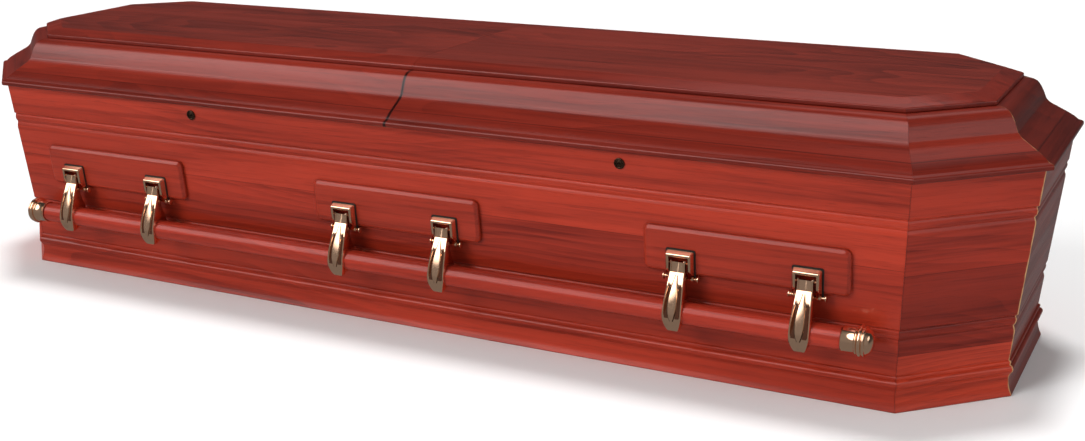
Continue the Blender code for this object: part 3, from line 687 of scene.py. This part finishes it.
class CASKET_OT_walls(bpy.types.Operator):
    """Eight mitred wall boards with reeded bands and a plinth."""

    bl_idname = "casket.walls"
    bl_label = "Shape the walls"

    def execute(self, context):
        profile = [(wall_inset(WALL_TOP), WALL_TOP, ARRIS_WEAR)]
        for band_top in BAND_TOPS:
            band = []
            for depth, drop, sharp in REED_BAND:
                band.append((wall_inset(band_top - drop) + depth, band_top - drop, sharp))
            profile += [(inset, height, wear * REED_WEAR) for inset, height, wear in eased(band)]
        profile += eased([(wall_inset(height) - proud, height, sharp) for proud, height, sharp in PLINTH])
        board = WALL_THICKNESS / math.cos(LEAN)
        profile += [(wall_inset(height) + board, height, 0.0) for height in (0.0, WALL_TOP)]
        for index, name in enumerate(WALL_NAMES):
            node, corners = f"wall_{name}", (index, (index + 1) % len(WALL_NAMES))
            builder = new_builder()
            ends = [lambda inset, corner=corner: outline(inset)[corner] for corner in corners]
            sweep_length(builder, profile, *ends, joints=[WALL_JOINTS[corner] for corner in corners])
            at_end = "end" in name
            # The end walls get painted shade, and their scuffs
            finish = timber(
                f"mahogany_{node}", "board", END_SHADE_TINT if at_end else 1.0, run_angle(*ends), 1.3 * index,
                CORNER_PLANKS if "corner" in name else LONG_PLANKS,
                scuffs=END_SCUFFS if at_end else 0.0, worn_share=0.62,
            )
            add_piece(builder, [finish], node, "timber", "casket")
        return {"FINISHED"}


class CASKET_OT_floor_board(bpy.types.Operator):
    """The plain board that closes the casket below."""

    bl_idname = "casket.floor_board"
    bl_label = "Finish the floor board"

    def execute(self, context):
        board = frame["nodes"]["floor_board"]
        finish = timber("bare_floor_board", "floor", seed=9.1)
        finish.node_tree.nodes["Principled BSDF"].inputs["Coat Weight"].default_value = 0.0
        board.data.materials.clear()
        board.data.materials.append(finish)
        return {"FINISHED"}


class CASKET_OT_lid_frames(bpy.types.Operator):
    """The lid's moulded frame in two halves, each of five mitred lengths."""

    bl_idname = "casket.lid_frames"
    bl_label = "Shape the lid frames"

    def execute(self, context):
        profile = [(inset, RIM_HEIGHT + rise, wear) for inset, rise, wear in eased(LID_FACE, 5)]
        profile += [(inset, RIM_HEIGHT + rise, 0.0) for inset, rise in LID_INSIDE]
        for side, sign in (("right", 1), ("left", -1)):
            corners = [
                lambda inset, number=number: half_plan(inset, sign, SEAM_GAP / 2 - MITRE_GAP)[number]
                for number in range(6)
            ]
            builder = new_builder()
            finishes = []
            for length in range(5):
                ends = corners[length:length + 2]
                # The end and far corner lengths are darkened as painted shade
                tint = LID_SHADED_TINT if length in LID_SHADED else 1.0
                sweep_length(builder, profile, *ends, length, LID_JOINTS[length:length + 2])
                finishes.append(timber(
                    f"mahogany_lid_{side}_{length + 1}", "lid", tint, run_angle(*ends), 2.1 * length + sign,
                    LID_PLANKS,
                ))
            node = f"lid_frame_{side}"
            add_piece(builder, finishes, node, "timber", "casket")
        return {"FINISHED"}


class CASKET_OT_lid_panels(bpy.types.Operator):
    """The bevelled panels on the lid's frames."""

    bl_idname = "casket.lid_panels"
    bl_label = "Shape the lid panels"

    def execute(self, context):
        for side, sign in (("right", 1), ("left", -1)):
            builder = new_builder()
            wear = builder.verts.layers.float["wear"]
            rings = []
            for inset, rise, worn in eased(PANEL_FACE, 3):
                ring = []
                for spot in half_plan(inset, sign, SEAM_GAP / 2):
                    vert = builder.verts.new((spot.x, spot.y, LID_TOP + rise))
                    vert[wear] = worn
                    ring.append(vert)
                rings.append(ring)
            skin(builder, rings)
            bevelled = (len(rings) - PANEL_FLAT_RINGS) * len(rings[0])
            for face in list(builder.faces)[:bevelled]:
                face.material_index = 1
            top = timber(f"mahogany_panel_{side}", "panel", seed=5.0 + sign, figure=PANEL_FIGURE)
            bevel = timber(f"mahogany_bevel_{side}", "lid", seed=6.5 + sign)
            node = f"lid_panel_{side}"
            add_piece(builder, [top, bevel], node, "timber", "casket")
        return {"FINISHED"}


class CASKET_OT_plaques(bpy.types.Operator):
    """Six raised plaques with round corners and rounded edges."""

    bl_idname = "casket.plaques"
    bl_label = "Shape the plaques"

    def execute(self, context):
        corner_steps = 7
        y, z = wall_point(PLAQUE_HEIGHT, 0.0)
        for side, turn in SIDES.items():
            for place in ("left", "centre", "right"):
                node = f"plaque_{side}_{place}"
                low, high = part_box(node)
                spot = Vector(((low.x + high.x) / 2, y if side == "front" else -y, z))
                tilt = Matrix.Translation(spot) @ Matrix.Rotation(turn, 4, "Z")
                tilt = tilt @ Matrix.Rotation(LEAN, 4, "X")
                builder = new_builder()
                rings = []
                for inset, out in PLAQUE_EDGE:
                    ring = []
                    for quarter in range(4):
                        across = (PLAQUE_LENGTH / 2 - PLAQUE_CORNER) * (1 if quarter in (0, 3) else -1)
                        up = (PLAQUE_WIDTH / 2 - PLAQUE_CORNER) * (1 if quarter in (0, 1) else -1)
                        for step in range(corner_steps + 1):
                            angle = math.pi / 2 * (quarter + step / corner_steps)
                            reach = PLAQUE_CORNER - inset
                            run, rise = across + reach * math.cos(angle), up + reach * math.sin(angle)
                            ring.append(builder.verts.new(tilt @ Vector((run, -out, rise))))
                    rings.append(ring)
                skin(builder, rings)
                seed = 4.4 + 3.1 * spot.x
                finish = timber(f"mahogany_{node}", "board", PLAQUE_TINT, seed=seed, figure=PLAQUE_FIGURE)
                add_piece(builder, [finish], node, "timber", "casket")
        return {"FINISHED"}


class CASKET_OT_locks(bpy.types.Operator):
    """Two round bronze locks with a recessed plug and a key slot."""

    bl_idname = "casket.locks"
    bl_label = "Shape the locks"

    def execute(self, context):
        hardware = context.scene.casket_hardware
        bronze = polished_metal("lock_bronze", hardware.bronze, 0.3, 0.6)
        # The key slot is a near-black box on the plug: painted shade standing in for the hole
        dark = polished_metal("lock_slot", shade(hardware.bronze, 0.12), 0.6, 0.2)
        y, z = wall_point(LOCK_HEIGHT, 0.0)
        lean = Matrix.Rotation(LEAN, 4, "X") @ Matrix.Rotation(-math.pi / 2, 4, "Z")
        for name in ("lock_left", "lock_right"):
            low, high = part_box(name)
            place = Matrix.Translation(((low.x + high.x) / 2, y, z)) @ lean
            builder = new_builder()
            profile = [(-LOCK_DEPTH, 0.0), (-LOCK_DEPTH, LOCK_BARREL)]
            profile += [(0.0003, LOCK_BARREL), (0.0003, LOCK_RADIUS)]
            profile += rounded_step(0.0011, 0.0024, LOCK_RADIUS, LOCK_RADIUS - 0.0013) + list(LOCK_PLUG)
            turn_profile(builder, profile, hardware.sides, place)
            rings = []
            for out in LOCK_SLOT_OUT:
                spots = [Vector((out, a * LOCK_SLOT_HALF[0], b * LOCK_SLOT_HALF[1])) for a, b in SQUARE]
                rings.append([builder.verts.new(place @ spot) for spot in spots])
            skin(builder, rings, 1)
            add_piece(builder, [bronze, dark], name, "metal", "casket")
        return {"FINISHED"}


class CASKET_OT_bumpers(bpy.types.Operator):
    """Small pale discs between the walls and the lid."""

    bl_idname = "casket.bumpers"
    bl_label = "Shape the bumpers"

    def execute(self, context):
        finish = moulded("bumper_plastic", (0.8, 0.79, 0.76))
        for node in sorted(n for n in frame["nodes"] if n.startswith("bumper_")):
            low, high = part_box(node)
            radius = (high.x - low.x) / 2
            middle = (low + high) / 2
            place = Matrix.Translation((middle.x, middle.y, low.z)) @ Matrix.Rotation(-math.pi / 2, 4, "Y")
            thick = high.z - low.z
            builder = new_builder()
            profile = [(0.0, 0.0), (0.0, radius * 0.92), (0.15 * thick, radius)]
            profile += rounded_step(0.45 * thick, thick, radius, radius * 0.7)
            profile += [(thick, 0.0)]
            turn_profile(builder, profile, 28, place)
            add_piece(builder, [finish], node, "disc", "casket")
        return {"FINISHED"}


def handles(kind):
    """(side, node, x) of each of the twelve lugs or arms."""
    for side in SIDES:
        for number in range(1, 7):
            node = f"{kind}_{side}_{number}"
            low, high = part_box(node)
            yield side, node, (low.x + high.x) / 2


def side_place(side, x, lean):
    """Where a handle piece modelled on the pivot axis goes, on the front or turned round to the back."""
    spot = Vector((x, PIVOT.y if side == "front" else -PIVOT.y, PIVOT.z))
    return Matrix.Translation(spot) @ Matrix.Rotation(SIDES[side], 4, "Z") @ Matrix.Rotation(lean, 4, "X")


def hood_low(out):
    """How far down the hood's cheek reaches at a distance out from the plaque."""
    share = max(out - HOOD_SHOULDER, 0.0) / (HOOD_DEPTH - HOOD_SHOULDER)
    return HOOD_LOW_BACK + (HOOD_LOW_FRONT - HOOD_LOW_BACK) * min(share, 1.0)


def add_hood(builder, place):
    """The lug's hood: its moulding runs up one cheek, across the top and down the other."""
    arc_steps = 5
    path = [(-1, None)]
    path += [(-1, step / arc_steps) for step in range(arc_steps + 1)]
    path += [(1, 1 - step / arc_steps) for step in range(arc_steps + 1)]
    path += [(1, None)]
    rings = []
    for sign, share in path:
        ring = []
        for out_of_face, out, _ in HOOD_SECTION:
            half = HOOD_FRONT_HALF + out_of_face
            top = HOOD_TOP + out_of_face * (HOOD_TOP_SLOPE if out_of_face > 0 else 1)
            radius = max(HOOD_CORNER + 0.4 * out_of_face, 0.0004)
            if share is None:
                x, z = sign * half, hood_low(out)
            else:
                angle = math.pi / 2 * share
                x = sign * (half - radius + radius * math.cos(angle))
                z = top - radius + radius * math.sin(angle)
            ring.append(builder.verts.new(place @ Vector((x, PIVOT_OUT - out, z))))
        rings.append(ring)
    skin(builder, rings, strips=[black_band for _, _, black_band in HOOD_SECTION])


def rest_pin_profile():
    """The right half of the rest pin: a ball by the cheek, a ring, and a flange at the end."""
    ball, ring, end = REST_PIN_BALL, REST_PIN_RING, REST_PIN_END
    half = [(ball - 0.0038, REST_PIN_RADIUS)]
    for step in range(9):
        angle = math.pi * step / 8
        half.append((ball - 0.004 * math.cos(angle), 0.0022 + 0.0023 * math.sin(angle)))
    half += [(ball + 0.0042, 0.002), (ring - 0.0012, 0.002), (ring - 0.0009, 0.0036)]
    half += [(ring + 0.0005, 0.0038), (ring + 0.0009, 0.0026), (end - 0.0017, 0.0026), (end - 0.0015, 0.0058)]
    return half + rounded_step(end - 0.0007, end, 0.0058, 0.0052, 3) + [(end, 0.0)]


class CASKET_OT_lugs(bpy.types.Operator):
    """Twelve plated lugs: a framed hood, a pivot pin between its cheeks and a rest pin with ball collars."""

    bl_idname = "casket.lugs"
    bl_label = "Shape the lugs"

    def execute(self, context):
        hardware = context.scene.casket_hardware
        plate = polished_metal("rose_gold_lug", hardware.plate, hardware.polish, 0.3)
        # The thin band round the hood's base is black
        black_band = moulded("black_gasket", (0.012, 0.01, 0.01))
        for side, node, x in handles("lug"):
            place = side_place(side, x, LEAN)
            builder = new_builder()
            add_hood(builder, place)
            half = HOOD_FRONT_HALF - 0.0012
            turn_profile(builder, mirrored([(half, PIVOT_RADIUS), (half, 0.0)]), 20, place)
            at_rest = place @ Matrix.Translation((0, PIVOT_OUT - REST_PIN_OUT, -REST_PIN_DROP))
            turn_profile(builder, mirrored(rest_pin_profile()), 24, at_rest)
            add_piece(builder, [plate, black_band], node, "casting", "casket")
        return {"FINISHED"}


# The arm: half widths and depths at distances below the pivot. Its head has a ledge over a sunk notch, and
# its face has a raised teardrop between two channels.
ARM_TOP_HALF = 0.0128
ARM_FULL_HALF = 0.0165
ARM_TIP_HALF = 0.0094
ARM_HEAD = 0.0034
ARM_BACK_WALL = 0.007
ARM_TIP_SET_BACK = 0.0068
ARM_TIP_DEPTH = 0.0115
NECK_BACK = -0.0016
NECK_DOWN = 0.0266
LEDGE_TOP = -0.0062
LEDGE_OUT = 0.0082
NOTCH_START = -0.0042
NOTCH_END = 0.0122
DROP_START = 0.016
DROP_END = 0.085
DROP_RAISE = 0.0013
CHANNEL_START = 0.03
CHANNEL_END = 0.08
# The plate's colour in the channels is multiplied by this: painted shade
CHANNEL_SHADE_TINT = (0.34, 0.22, 0.2)
FULL_FRONT = BAR_OUT + BAR_RADIUS + 0.0038
FULL_BACK = BAR_OUT - BAR_RADIUS - ARM_BACK_WALL


def smooth_step(share):
    """Rises from 0 to 1 with level ends."""
    share = min(max(share, 0.0), 1.0)
    return share * share * (3 - 2 * share)


def arm_face(down):
    """(front, back, half width) of the arm at a distance below the pivot."""
    if down <= BAR_DOWN:
        share = max(down, 0.0) / BAR_DOWN
        front = ARM_HEAD + (FULL_FRONT - ARM_HEAD) * (1 - (1 - share) ** 1.35)
        if down < NOTCH_END:
            front = max(front, LEDGE_OUT + 0.0017 * (down - LEDGE_TOP) / (NOTCH_END - LEDGE_TOP))
        half = ARM_TOP_HALF + (ARM_FULL_HALF - ARM_TOP_HALF) * smooth_step(share)
        if down < 0:
            back = -ARM_HEAD + 0.008 * smooth_step(down / LEDGE_TOP)
        elif down < NECK_DOWN:
            back = -ARM_HEAD + (NECK_BACK + ARM_HEAD) * down / NECK_DOWN
        else:
            share = (down - NECK_DOWN) / (BAR_DOWN - NECK_DOWN)
            back = NECK_BACK + (FULL_BACK - NECK_BACK) * smooth_step(share)
    else:
        share = (down - BAR_DOWN) / (ARM_TIP - BAR_DOWN)
        front = FULL_FRONT - ARM_TIP_SET_BACK * share**2.6
        back = FULL_BACK + (FULL_FRONT - ARM_TIP_SET_BACK - ARM_TIP_DEPTH - FULL_BACK) * share**2.6
        half = ARM_FULL_HALF + (ARM_TIP_HALF - ARM_FULL_HALF) * share**1.8
    return front, back, half


def arm_relief(down, half):
    """The right half of the arm's face from its middle line outwards, as (across, up from the face)."""
    if down < NOTCH_START:
        rise = 0.0012 if down > LEDGE_TOP + 0.001 else -0.0022
        return [(half * share, rise) for share in (0.0, 0.15, 0.3, 0.45, 0.55, 0.62, 0.7, 0.78)]
    if down < NOTCH_END:
        share = (down - NOTCH_START) / (NOTCH_END - NOTCH_START)
        deep = 0.0046 * (1 - share)
        wide = half - 0.0032
        return [
            (0.0, -deep - 0.0004), (0.22 * wide, -0.8 * deep - 0.0004),
            (0.5 * wide, -0.5 * deep - 0.0004), (0.8 * wide, -0.2 * deep - 0.0007),
            (0.93 * wide, -0.0008), (0.96 * wide, -0.0008), (wide, 0.0), (wide + 0.0004, 0.0),
        ]
    share = (down - DROP_START) / (DROP_END - DROP_START)
    if not 0 < share < 1:
        wide = 0.0012 if share <= 0 else 0.0024
        plain = [(wide * step, 0.0) for step in (0.0, 0.4, 0.7, 1.0, 1.3, 1.6)]
        return plain + [(half - 0.0044, 0.0), (half - 0.0036, 0.0)]
    wide = 0.0009 + 0.0061 * math.sin(math.pi * share**1.35) ** 0.75
    rise = DROP_RAISE * min(1.0, 12 * share, 12 * (1 - share))
    along = (down - CHANNEL_START) / (CHANNEL_END - CHANNEL_START)
    sunk = 0.0036 * math.sin(math.pi * along) ** 0.6 if 0 < along < 1 else 0.0
    return [
        (0.0, rise), (0.55 * wide, rise), (0.9 * wide, 0.85 * rise), (wide + 0.0001, -0.0003),
        (wide + 0.0011, -0.0003), (wide + 0.0014, -0.45 * sunk),
        (max(half - 0.0042, wide + 0.0018), -sunk), (max(half - 0.0034, wide + 0.0022), -0.2 * sunk),
    ]


def add_arm(builder, place):
    """The arm's casting, a bowed strap whose outline round the teardrop is painted dark as the groove's
    shade.
    """
    drop, tip = DROP_END - DROP_START, ARM_TIP - 0.0012 - DROP_END
    stations = [LEDGE_TOP, LEDGE_TOP + 0.0016, NOTCH_START - 0.0002, NOTCH_START, -0.001, 0.003, 0.007]
    stations += [NOTCH_END - 0.0001, NOTCH_END, 0.014, DROP_START - 0.0001]
    shares = [0.01, 0.04, 0.08] + [0.12 + 0.8 * i / 18 for i in range(19)] + [0.95, 0.975, 0.99]
    stations += [DROP_START + drop * share for share in shares]
    stations += [DROP_END + tip * share for share in (0.02, 0.25, 0.5, 0.75, 0.92, 1.0)]
    rings = []
    for down in stations:
        front, back, half = arm_face(down)
        depth = front - back
        relief = arm_relief(down, half)
        side = relief[1:] + [
            (half - 0.0026, 0.0002), (half - 0.001, -0.0004), (half, -min(0.003, 0.3 * depth)),
            (half - 0.0003, -0.5 * depth), (half - 0.0022, -0.85 * depth), (half - 0.005, -depth),
        ]
        ring = [relief[0]] + side + [(0.0, -depth)] + [(-x, rise) for x, rise in reversed(side)]
        rings.append([builder.verts.new(place @ Vector((x, -(front + rise), -down))) for x, rise in ring])
    last = rings[-1]
    centre = sum((v.co for v in last), Vector()) / len(last)
    lower_end = place.to_3x3() @ Vector((0, 0, -0.0012))
    rings.append([builder.verts.new(centre + (v.co - centre) * 0.86 + lower_end) for v in last])
    count = len(last)
    skin(builder, rings)
    builder.faces.ensure_lookup_table()
    # The teardrop's outline has finish 1, and the channels beside it have finish 2: both are painted shade
    marks = ((DROP_START, DROP_END, 3, 1), (CHANNEL_START, CHANNEL_END, 5, 2))
    for row, (upper, lower) in enumerate(zip(stations, stations[1:])):
        for start, end, strip, finish in marks:
            if start < upper and lower < end:
                for face in (strip, count - 1 - strip):
                    builder.faces[row * count + face].material_index = finish


class CASKET_OT_arms(bpy.types.Operator):
    """Twelve plated arms, each a bowed casting that the bar goes through."""

    bl_idname = "casket.arms"
    bl_label = "Shape the arms"

    def execute(self, context):
        hardware = context.scene.casket_hardware
        plate = polished_metal("rose_gold_arm", hardware.plate, hardware.polish, 0.25)
        # Near-black plate for the teardrop's outline: painted shade in its groove
        outline_shade = polished_metal("arm_outline", shade(hardware.plate, 0.1), 0.45, 0.2)
        # A darker, redder plate in the channels: painted shade
        channel_shade_colour = [c * tint for c, tint in zip(hardware.plate, CHANNEL_SHADE_TINT)]
        channel_shade = polished_metal("arm_channel", channel_shade_colour, 0.16, 0.2)
        for side, node, x in handles("arm"):
            place = side_place(side, x, 0.0)
            builder = new_builder()
            add_arm(builder, place)
            half = ARM_TOP_HALF - 0.0003
            knuckle = [(half - 0.0006, KNUCKLE_RADIUS), (half, KNUCKLE_RADIUS - 0.0006), (half, 0.0)]
            turn_profile(builder, mirrored(knuckle), 24, place)
            finishes = [plate, outline_shade, channel_shade]
            add_piece(builder, finishes, node, "casting", f"{side}_bar")
        return {"FINISHED"}


class CASKET_OT_bars(bpy.types.Operator):
    """The round timber bar of each side, with a shoulder that enters its caps."""

    bl_idname = "casket.bars"
    bl_label = "Turn the bars"

    def execute(self, context):
        neck, end = BAR_RADIUS - BAR_SHOULDER, BAR_HALF
        half = [(0.0, BAR_RADIUS), (CAP_MOUTH - 0.0016, BAR_RADIUS), (CAP_MOUTH - 0.001, neck)]
        half += [(end - 0.001, neck), (end, neck - 0.001), (end, 0.0)]
        for side in SIDES:
            node = f"bar_{side}"
            low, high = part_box(node)
            builder = new_builder()
            sides = context.scene.casket_hardware.sides + 16
            turn_profile(builder, mirrored(half), sides, Matrix.Translation((low + high) / 2))
            finish = timber(f"dark_{node}", "bar", seed=7.7, worn_share=0.3)
            add_piece(builder, [finish], node, "timber", f"{side}_bar")
        return {"FINISHED"}


def cap_profile():
    """The cap from its mouth to its dome, as (x past the mouth, radius)."""
    bore = BAR_RADIUS + 0.0003
    sleeve = bore + CAP_WALL
    points = [(CAP_SLEEVE, 0.0), (CAP_SLEEVE, bore), (0.0004, bore), (0.0, bore + 0.0004), (0.0, sleeve)]
    points += [(0.0012, sleeve + 0.0006), (0.0024, sleeve + 0.0004), (0.003, sleeve)]
    points += [(0.019, sleeve), (0.0196, sleeve + 0.0002)]
    for start, end, foot, swell, steps, after, after_foot in CAP_BEADS:
        for step in range(steps + 1):
            angle = math.pi * step / steps
            middle, reach = (start + end) / 2, (end - start) / 2
            points.append((middle - reach * math.cos(angle), sleeve + foot + swell * math.sin(angle)))
        points.append((after, sleeve + after_foot))
    for step in range(1, 10):
        angle = math.pi / 2 * step / 10
        points.append((CAP_DOME + CAP_DOME_RISE * math.sin(angle), (sleeve - 0.0002) * math.cos(angle)))
    points.append((CAP_DOME + CAP_DOME_RISE, 0.0))
    return points


class CASKET_OT_bar_caps(bpy.types.Operator):
    """The turned and plated caps on the bars' ends."""

    bl_idname = "casket.bar_caps"
    bl_label = "Turn the bar caps"

    def execute(self, context):
        hardware = context.scene.casket_hardware
        plate = polished_metal("rose_gold_cap", hardware.plate, hardware.polish, 0.25)
        profile = cap_profile()
        for side in SIDES:
            for end, turn in (("left", math.pi), ("right", 0.0)):
                node = f"bar_cap_{side}_{end}"
                low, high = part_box(node)
                # The beads and dome are stretched to the solid's length, and the sleeve is as it is
                stretch = (high.x - low.x - CAP_SLEEVE) / (profile[-1][0] - CAP_SLEEVE)
                fitted = [(x + max(x - CAP_SLEEVE, 0.0) * (stretch - 1), radius) for x, radius in profile]
                _, y, z = (low + high) / 2
                place = Matrix.Translation((-CAP_MOUTH if turn else CAP_MOUTH, y, z))
                place = place @ Matrix.Rotation(turn, 4, "Z")
                builder = new_builder()
                turn_profile(builder, fitted, hardware.sides, place)
                add_piece(builder, [plate], node, "casting", f"{side}_bar")
        return {"FINISHED"}


def stand(name, data, place, target=(0.0, 0.0, 0.0)):
    """Puts a light at a place and turns it towards a point."""
    thing = bpy.data.objects.new(name, data)
    bpy.context.scene.collection.objects.link(thing)
    thing.location = place
    thing.rotation_euler = (Vector(target) - thing.location).to_track_quat("-Z", "Y").to_euler()
    return thing


class CASKET_OT_stage(bpy.types.Operator):
    """A pale floor, soft light from the front and above, and the camera."""

    bl_idname = "casket.stage"
    bl_label = "Set the stage"

    def execute(self, context):
        stage = context.scene.casket_stage
        builder = bmesh.new()
        spots = [(a * FLOOR_REACH, b * FLOOR_REACH, -FLOOR_DROP) for a, b in SQUARE]
        builder.faces.new([builder.verts.new(spot) for spot in spots])
        mesh = bpy.data.meshes.new("pale_floor")
        builder.to_mesh(mesh)
        builder.free()
        finish = Finish("pale_floor").cover({"Base Color": FLOOR_COLOUR, "Roughness": FLOOR_ROUGHNESS})
        mesh.materials.append(finish)
        floor = bpy.data.objects.new("pale_floor", mesh)
        context.scene.collection.objects.link(floor)
        floor.visible_glossy = False

        for name, strength, softness, place in (
            ("key", stage.key, stage.softness, KEY_PLACE),
            ("overhead", stage.overhead, stage.softness * OVERHEAD_SOFTNESS, OVERHEAD_PLACE),
        ):
            sun = bpy.data.lights.new(name, "SUN")
            sun.energy = strength
            sun.angle = softness
            stand(name, sun, place).visible_glossy = False
        fill = bpy.data.lights.new("fill", "AREA")
        fill.shape = "RECTANGLE"
        fill.size, fill.size_y = FILL_SIZE
        fill.energy = stage.fill
        stand("fill", fill, FILL_PLACE, FILL_TARGET)

        # The studio is white to look at and dim in reflections, as with dark flags round the set
        world = bpy.data.worlds.new("studio")
        context.scene.world = world
        world.use_nodes = True
        bench = NodeBench(world.node_tree)
        rays = bench.put("ShaderNodeLightPath").outputs
        direction = bench.put("ShaderNodeTexCoord").outputs["Generated"]
        part = bench.put("ShaderNodeSeparateXYZ", {"Vector": direction}).outputs
        room = bench.span(part["Y"], -0.5, 0.1, stage.front_shown, stage.room_shown)
        seen = bench.span(part["Z"], -0.25, 0.02, stage.floor_shown, room)
        for way, start, share in SOFT_BOXES:
            toward = bench.vectors("DOT_PRODUCT", direction, Vector(way).normalized())["Value"]
            box = bench.span(toward, start, start + SOFT_BOX_EDGE, 0.0, share * stage.box_shown)
            seen = bench.maths("ADD", seen, box)
        dimmed = {"Factor": rays["Is Glossy Ray"], "A": stage.ambient, "B": seen}
        light = bench.put("ShaderNodeMix", dimmed).outputs["Result"]
        background = world.node_tree.nodes["Background"].inputs
        bench.feed(background["Color"], (1.0, 1.0, 1.0))
        bench.feed(background["Strength"], bench.maths("MAXIMUM", light, rays["Is Camera Ray"]))
        context.scene.view_settings.view_transform = "Standard"

        camera = bpy.data.cameras.new("photo_view")
        camera.lens = stage.lens
        camera.sensor_width = 36.0
        camera.clip_start, camera.clip_end = 0.05, 200.0
        viewer = bpy.data.objects.new("photo_view", camera)
        context.scene.collection.objects.link(viewer)
        azimuth, elevation, roll = stage.azimuth, stage.elevation, stage.roll
        forward = Vector((
            -math.sin(azimuth) * math.cos(elevation),
            math.cos(azimuth) * math.cos(elevation),
            -math.sin(elevation),
        ))
        level = Vector((math.cos(azimuth), math.sin(azimuth), 0.0))
        upright = level.cross(forward)
        right = level * math.cos(roll) + upright * math.sin(roll)
        up = upright * math.cos(roll) - level * math.sin(roll)
        turn = Matrix((right, up, -forward)).transposed().to_4x4()
        viewer.matrix_world = Matrix.Translation(Vector(stage.eye)) @ turn
        context.scene.camera = viewer
        return {"FINISHED"}


PIECE_OPERATORS = (
    CASKET_OT_walls, CASKET_OT_floor_board, CASKET_OT_lid_frames, CASKET_OT_lid_panels, CASKET_OT_plaques,
    CASKET_OT_locks, CASKET_OT_bumpers, CASKET_OT_lugs, CASKET_OT_arms, CASKET_OT_bars,
    CASKET_OT_bar_caps, CASKET_OT_stage,
)


class CASKET_PT_panel(bpy.types.Panel):
    """Lists the casket's sizes, colours and pieces."""

    bl_idname = "CASKET_PT_panel"
    bl_label = "Casket"
    bl_space_type = "VIEW_3D"
    bl_region_type = "UI"
    bl_category = "Casket"

    def draw(self, context):
        for group in (context.scene.casket_timber, context.scene.casket_hardware, context.scene.casket_stage):
            box = self.layout.box()
            for name in group.__annotations__:
                box.prop(group, name)
        for operator in PIECE_OPERATORS:
            self.layout.operator(operator.bl_idname)


CLASSES = (CasketTimber, CasketHardware, CasketStage, *PIECE_OPERATORS, CASKET_PT_panel)


def register():
    for made in CLASSES:
        bpy.utils.register_class(made)
    bpy.types.Scene.casket_timber = PointerProperty(type=CasketTimber)
    bpy.types.Scene.casket_hardware = PointerProperty(type=CasketHardware)
    bpy.types.Scene.casket_stage = PointerProperty(type=CasketStage)


def unregister():
    del bpy.types.Scene.casket_stage
    del bpy.types.Scene.casket_hardware
    del bpy.types.Scene.casket_timber
    for made in reversed(CLASSES):
        bpy.utils.unregister_class(made)


def main():
    register()
    for operator in PIECE_OPERATORS:
        group, name = operator.bl_idname.split(".")
        getattr(getattr(bpy.ops, group), name)()


if __name__ == "__main__":
    main()
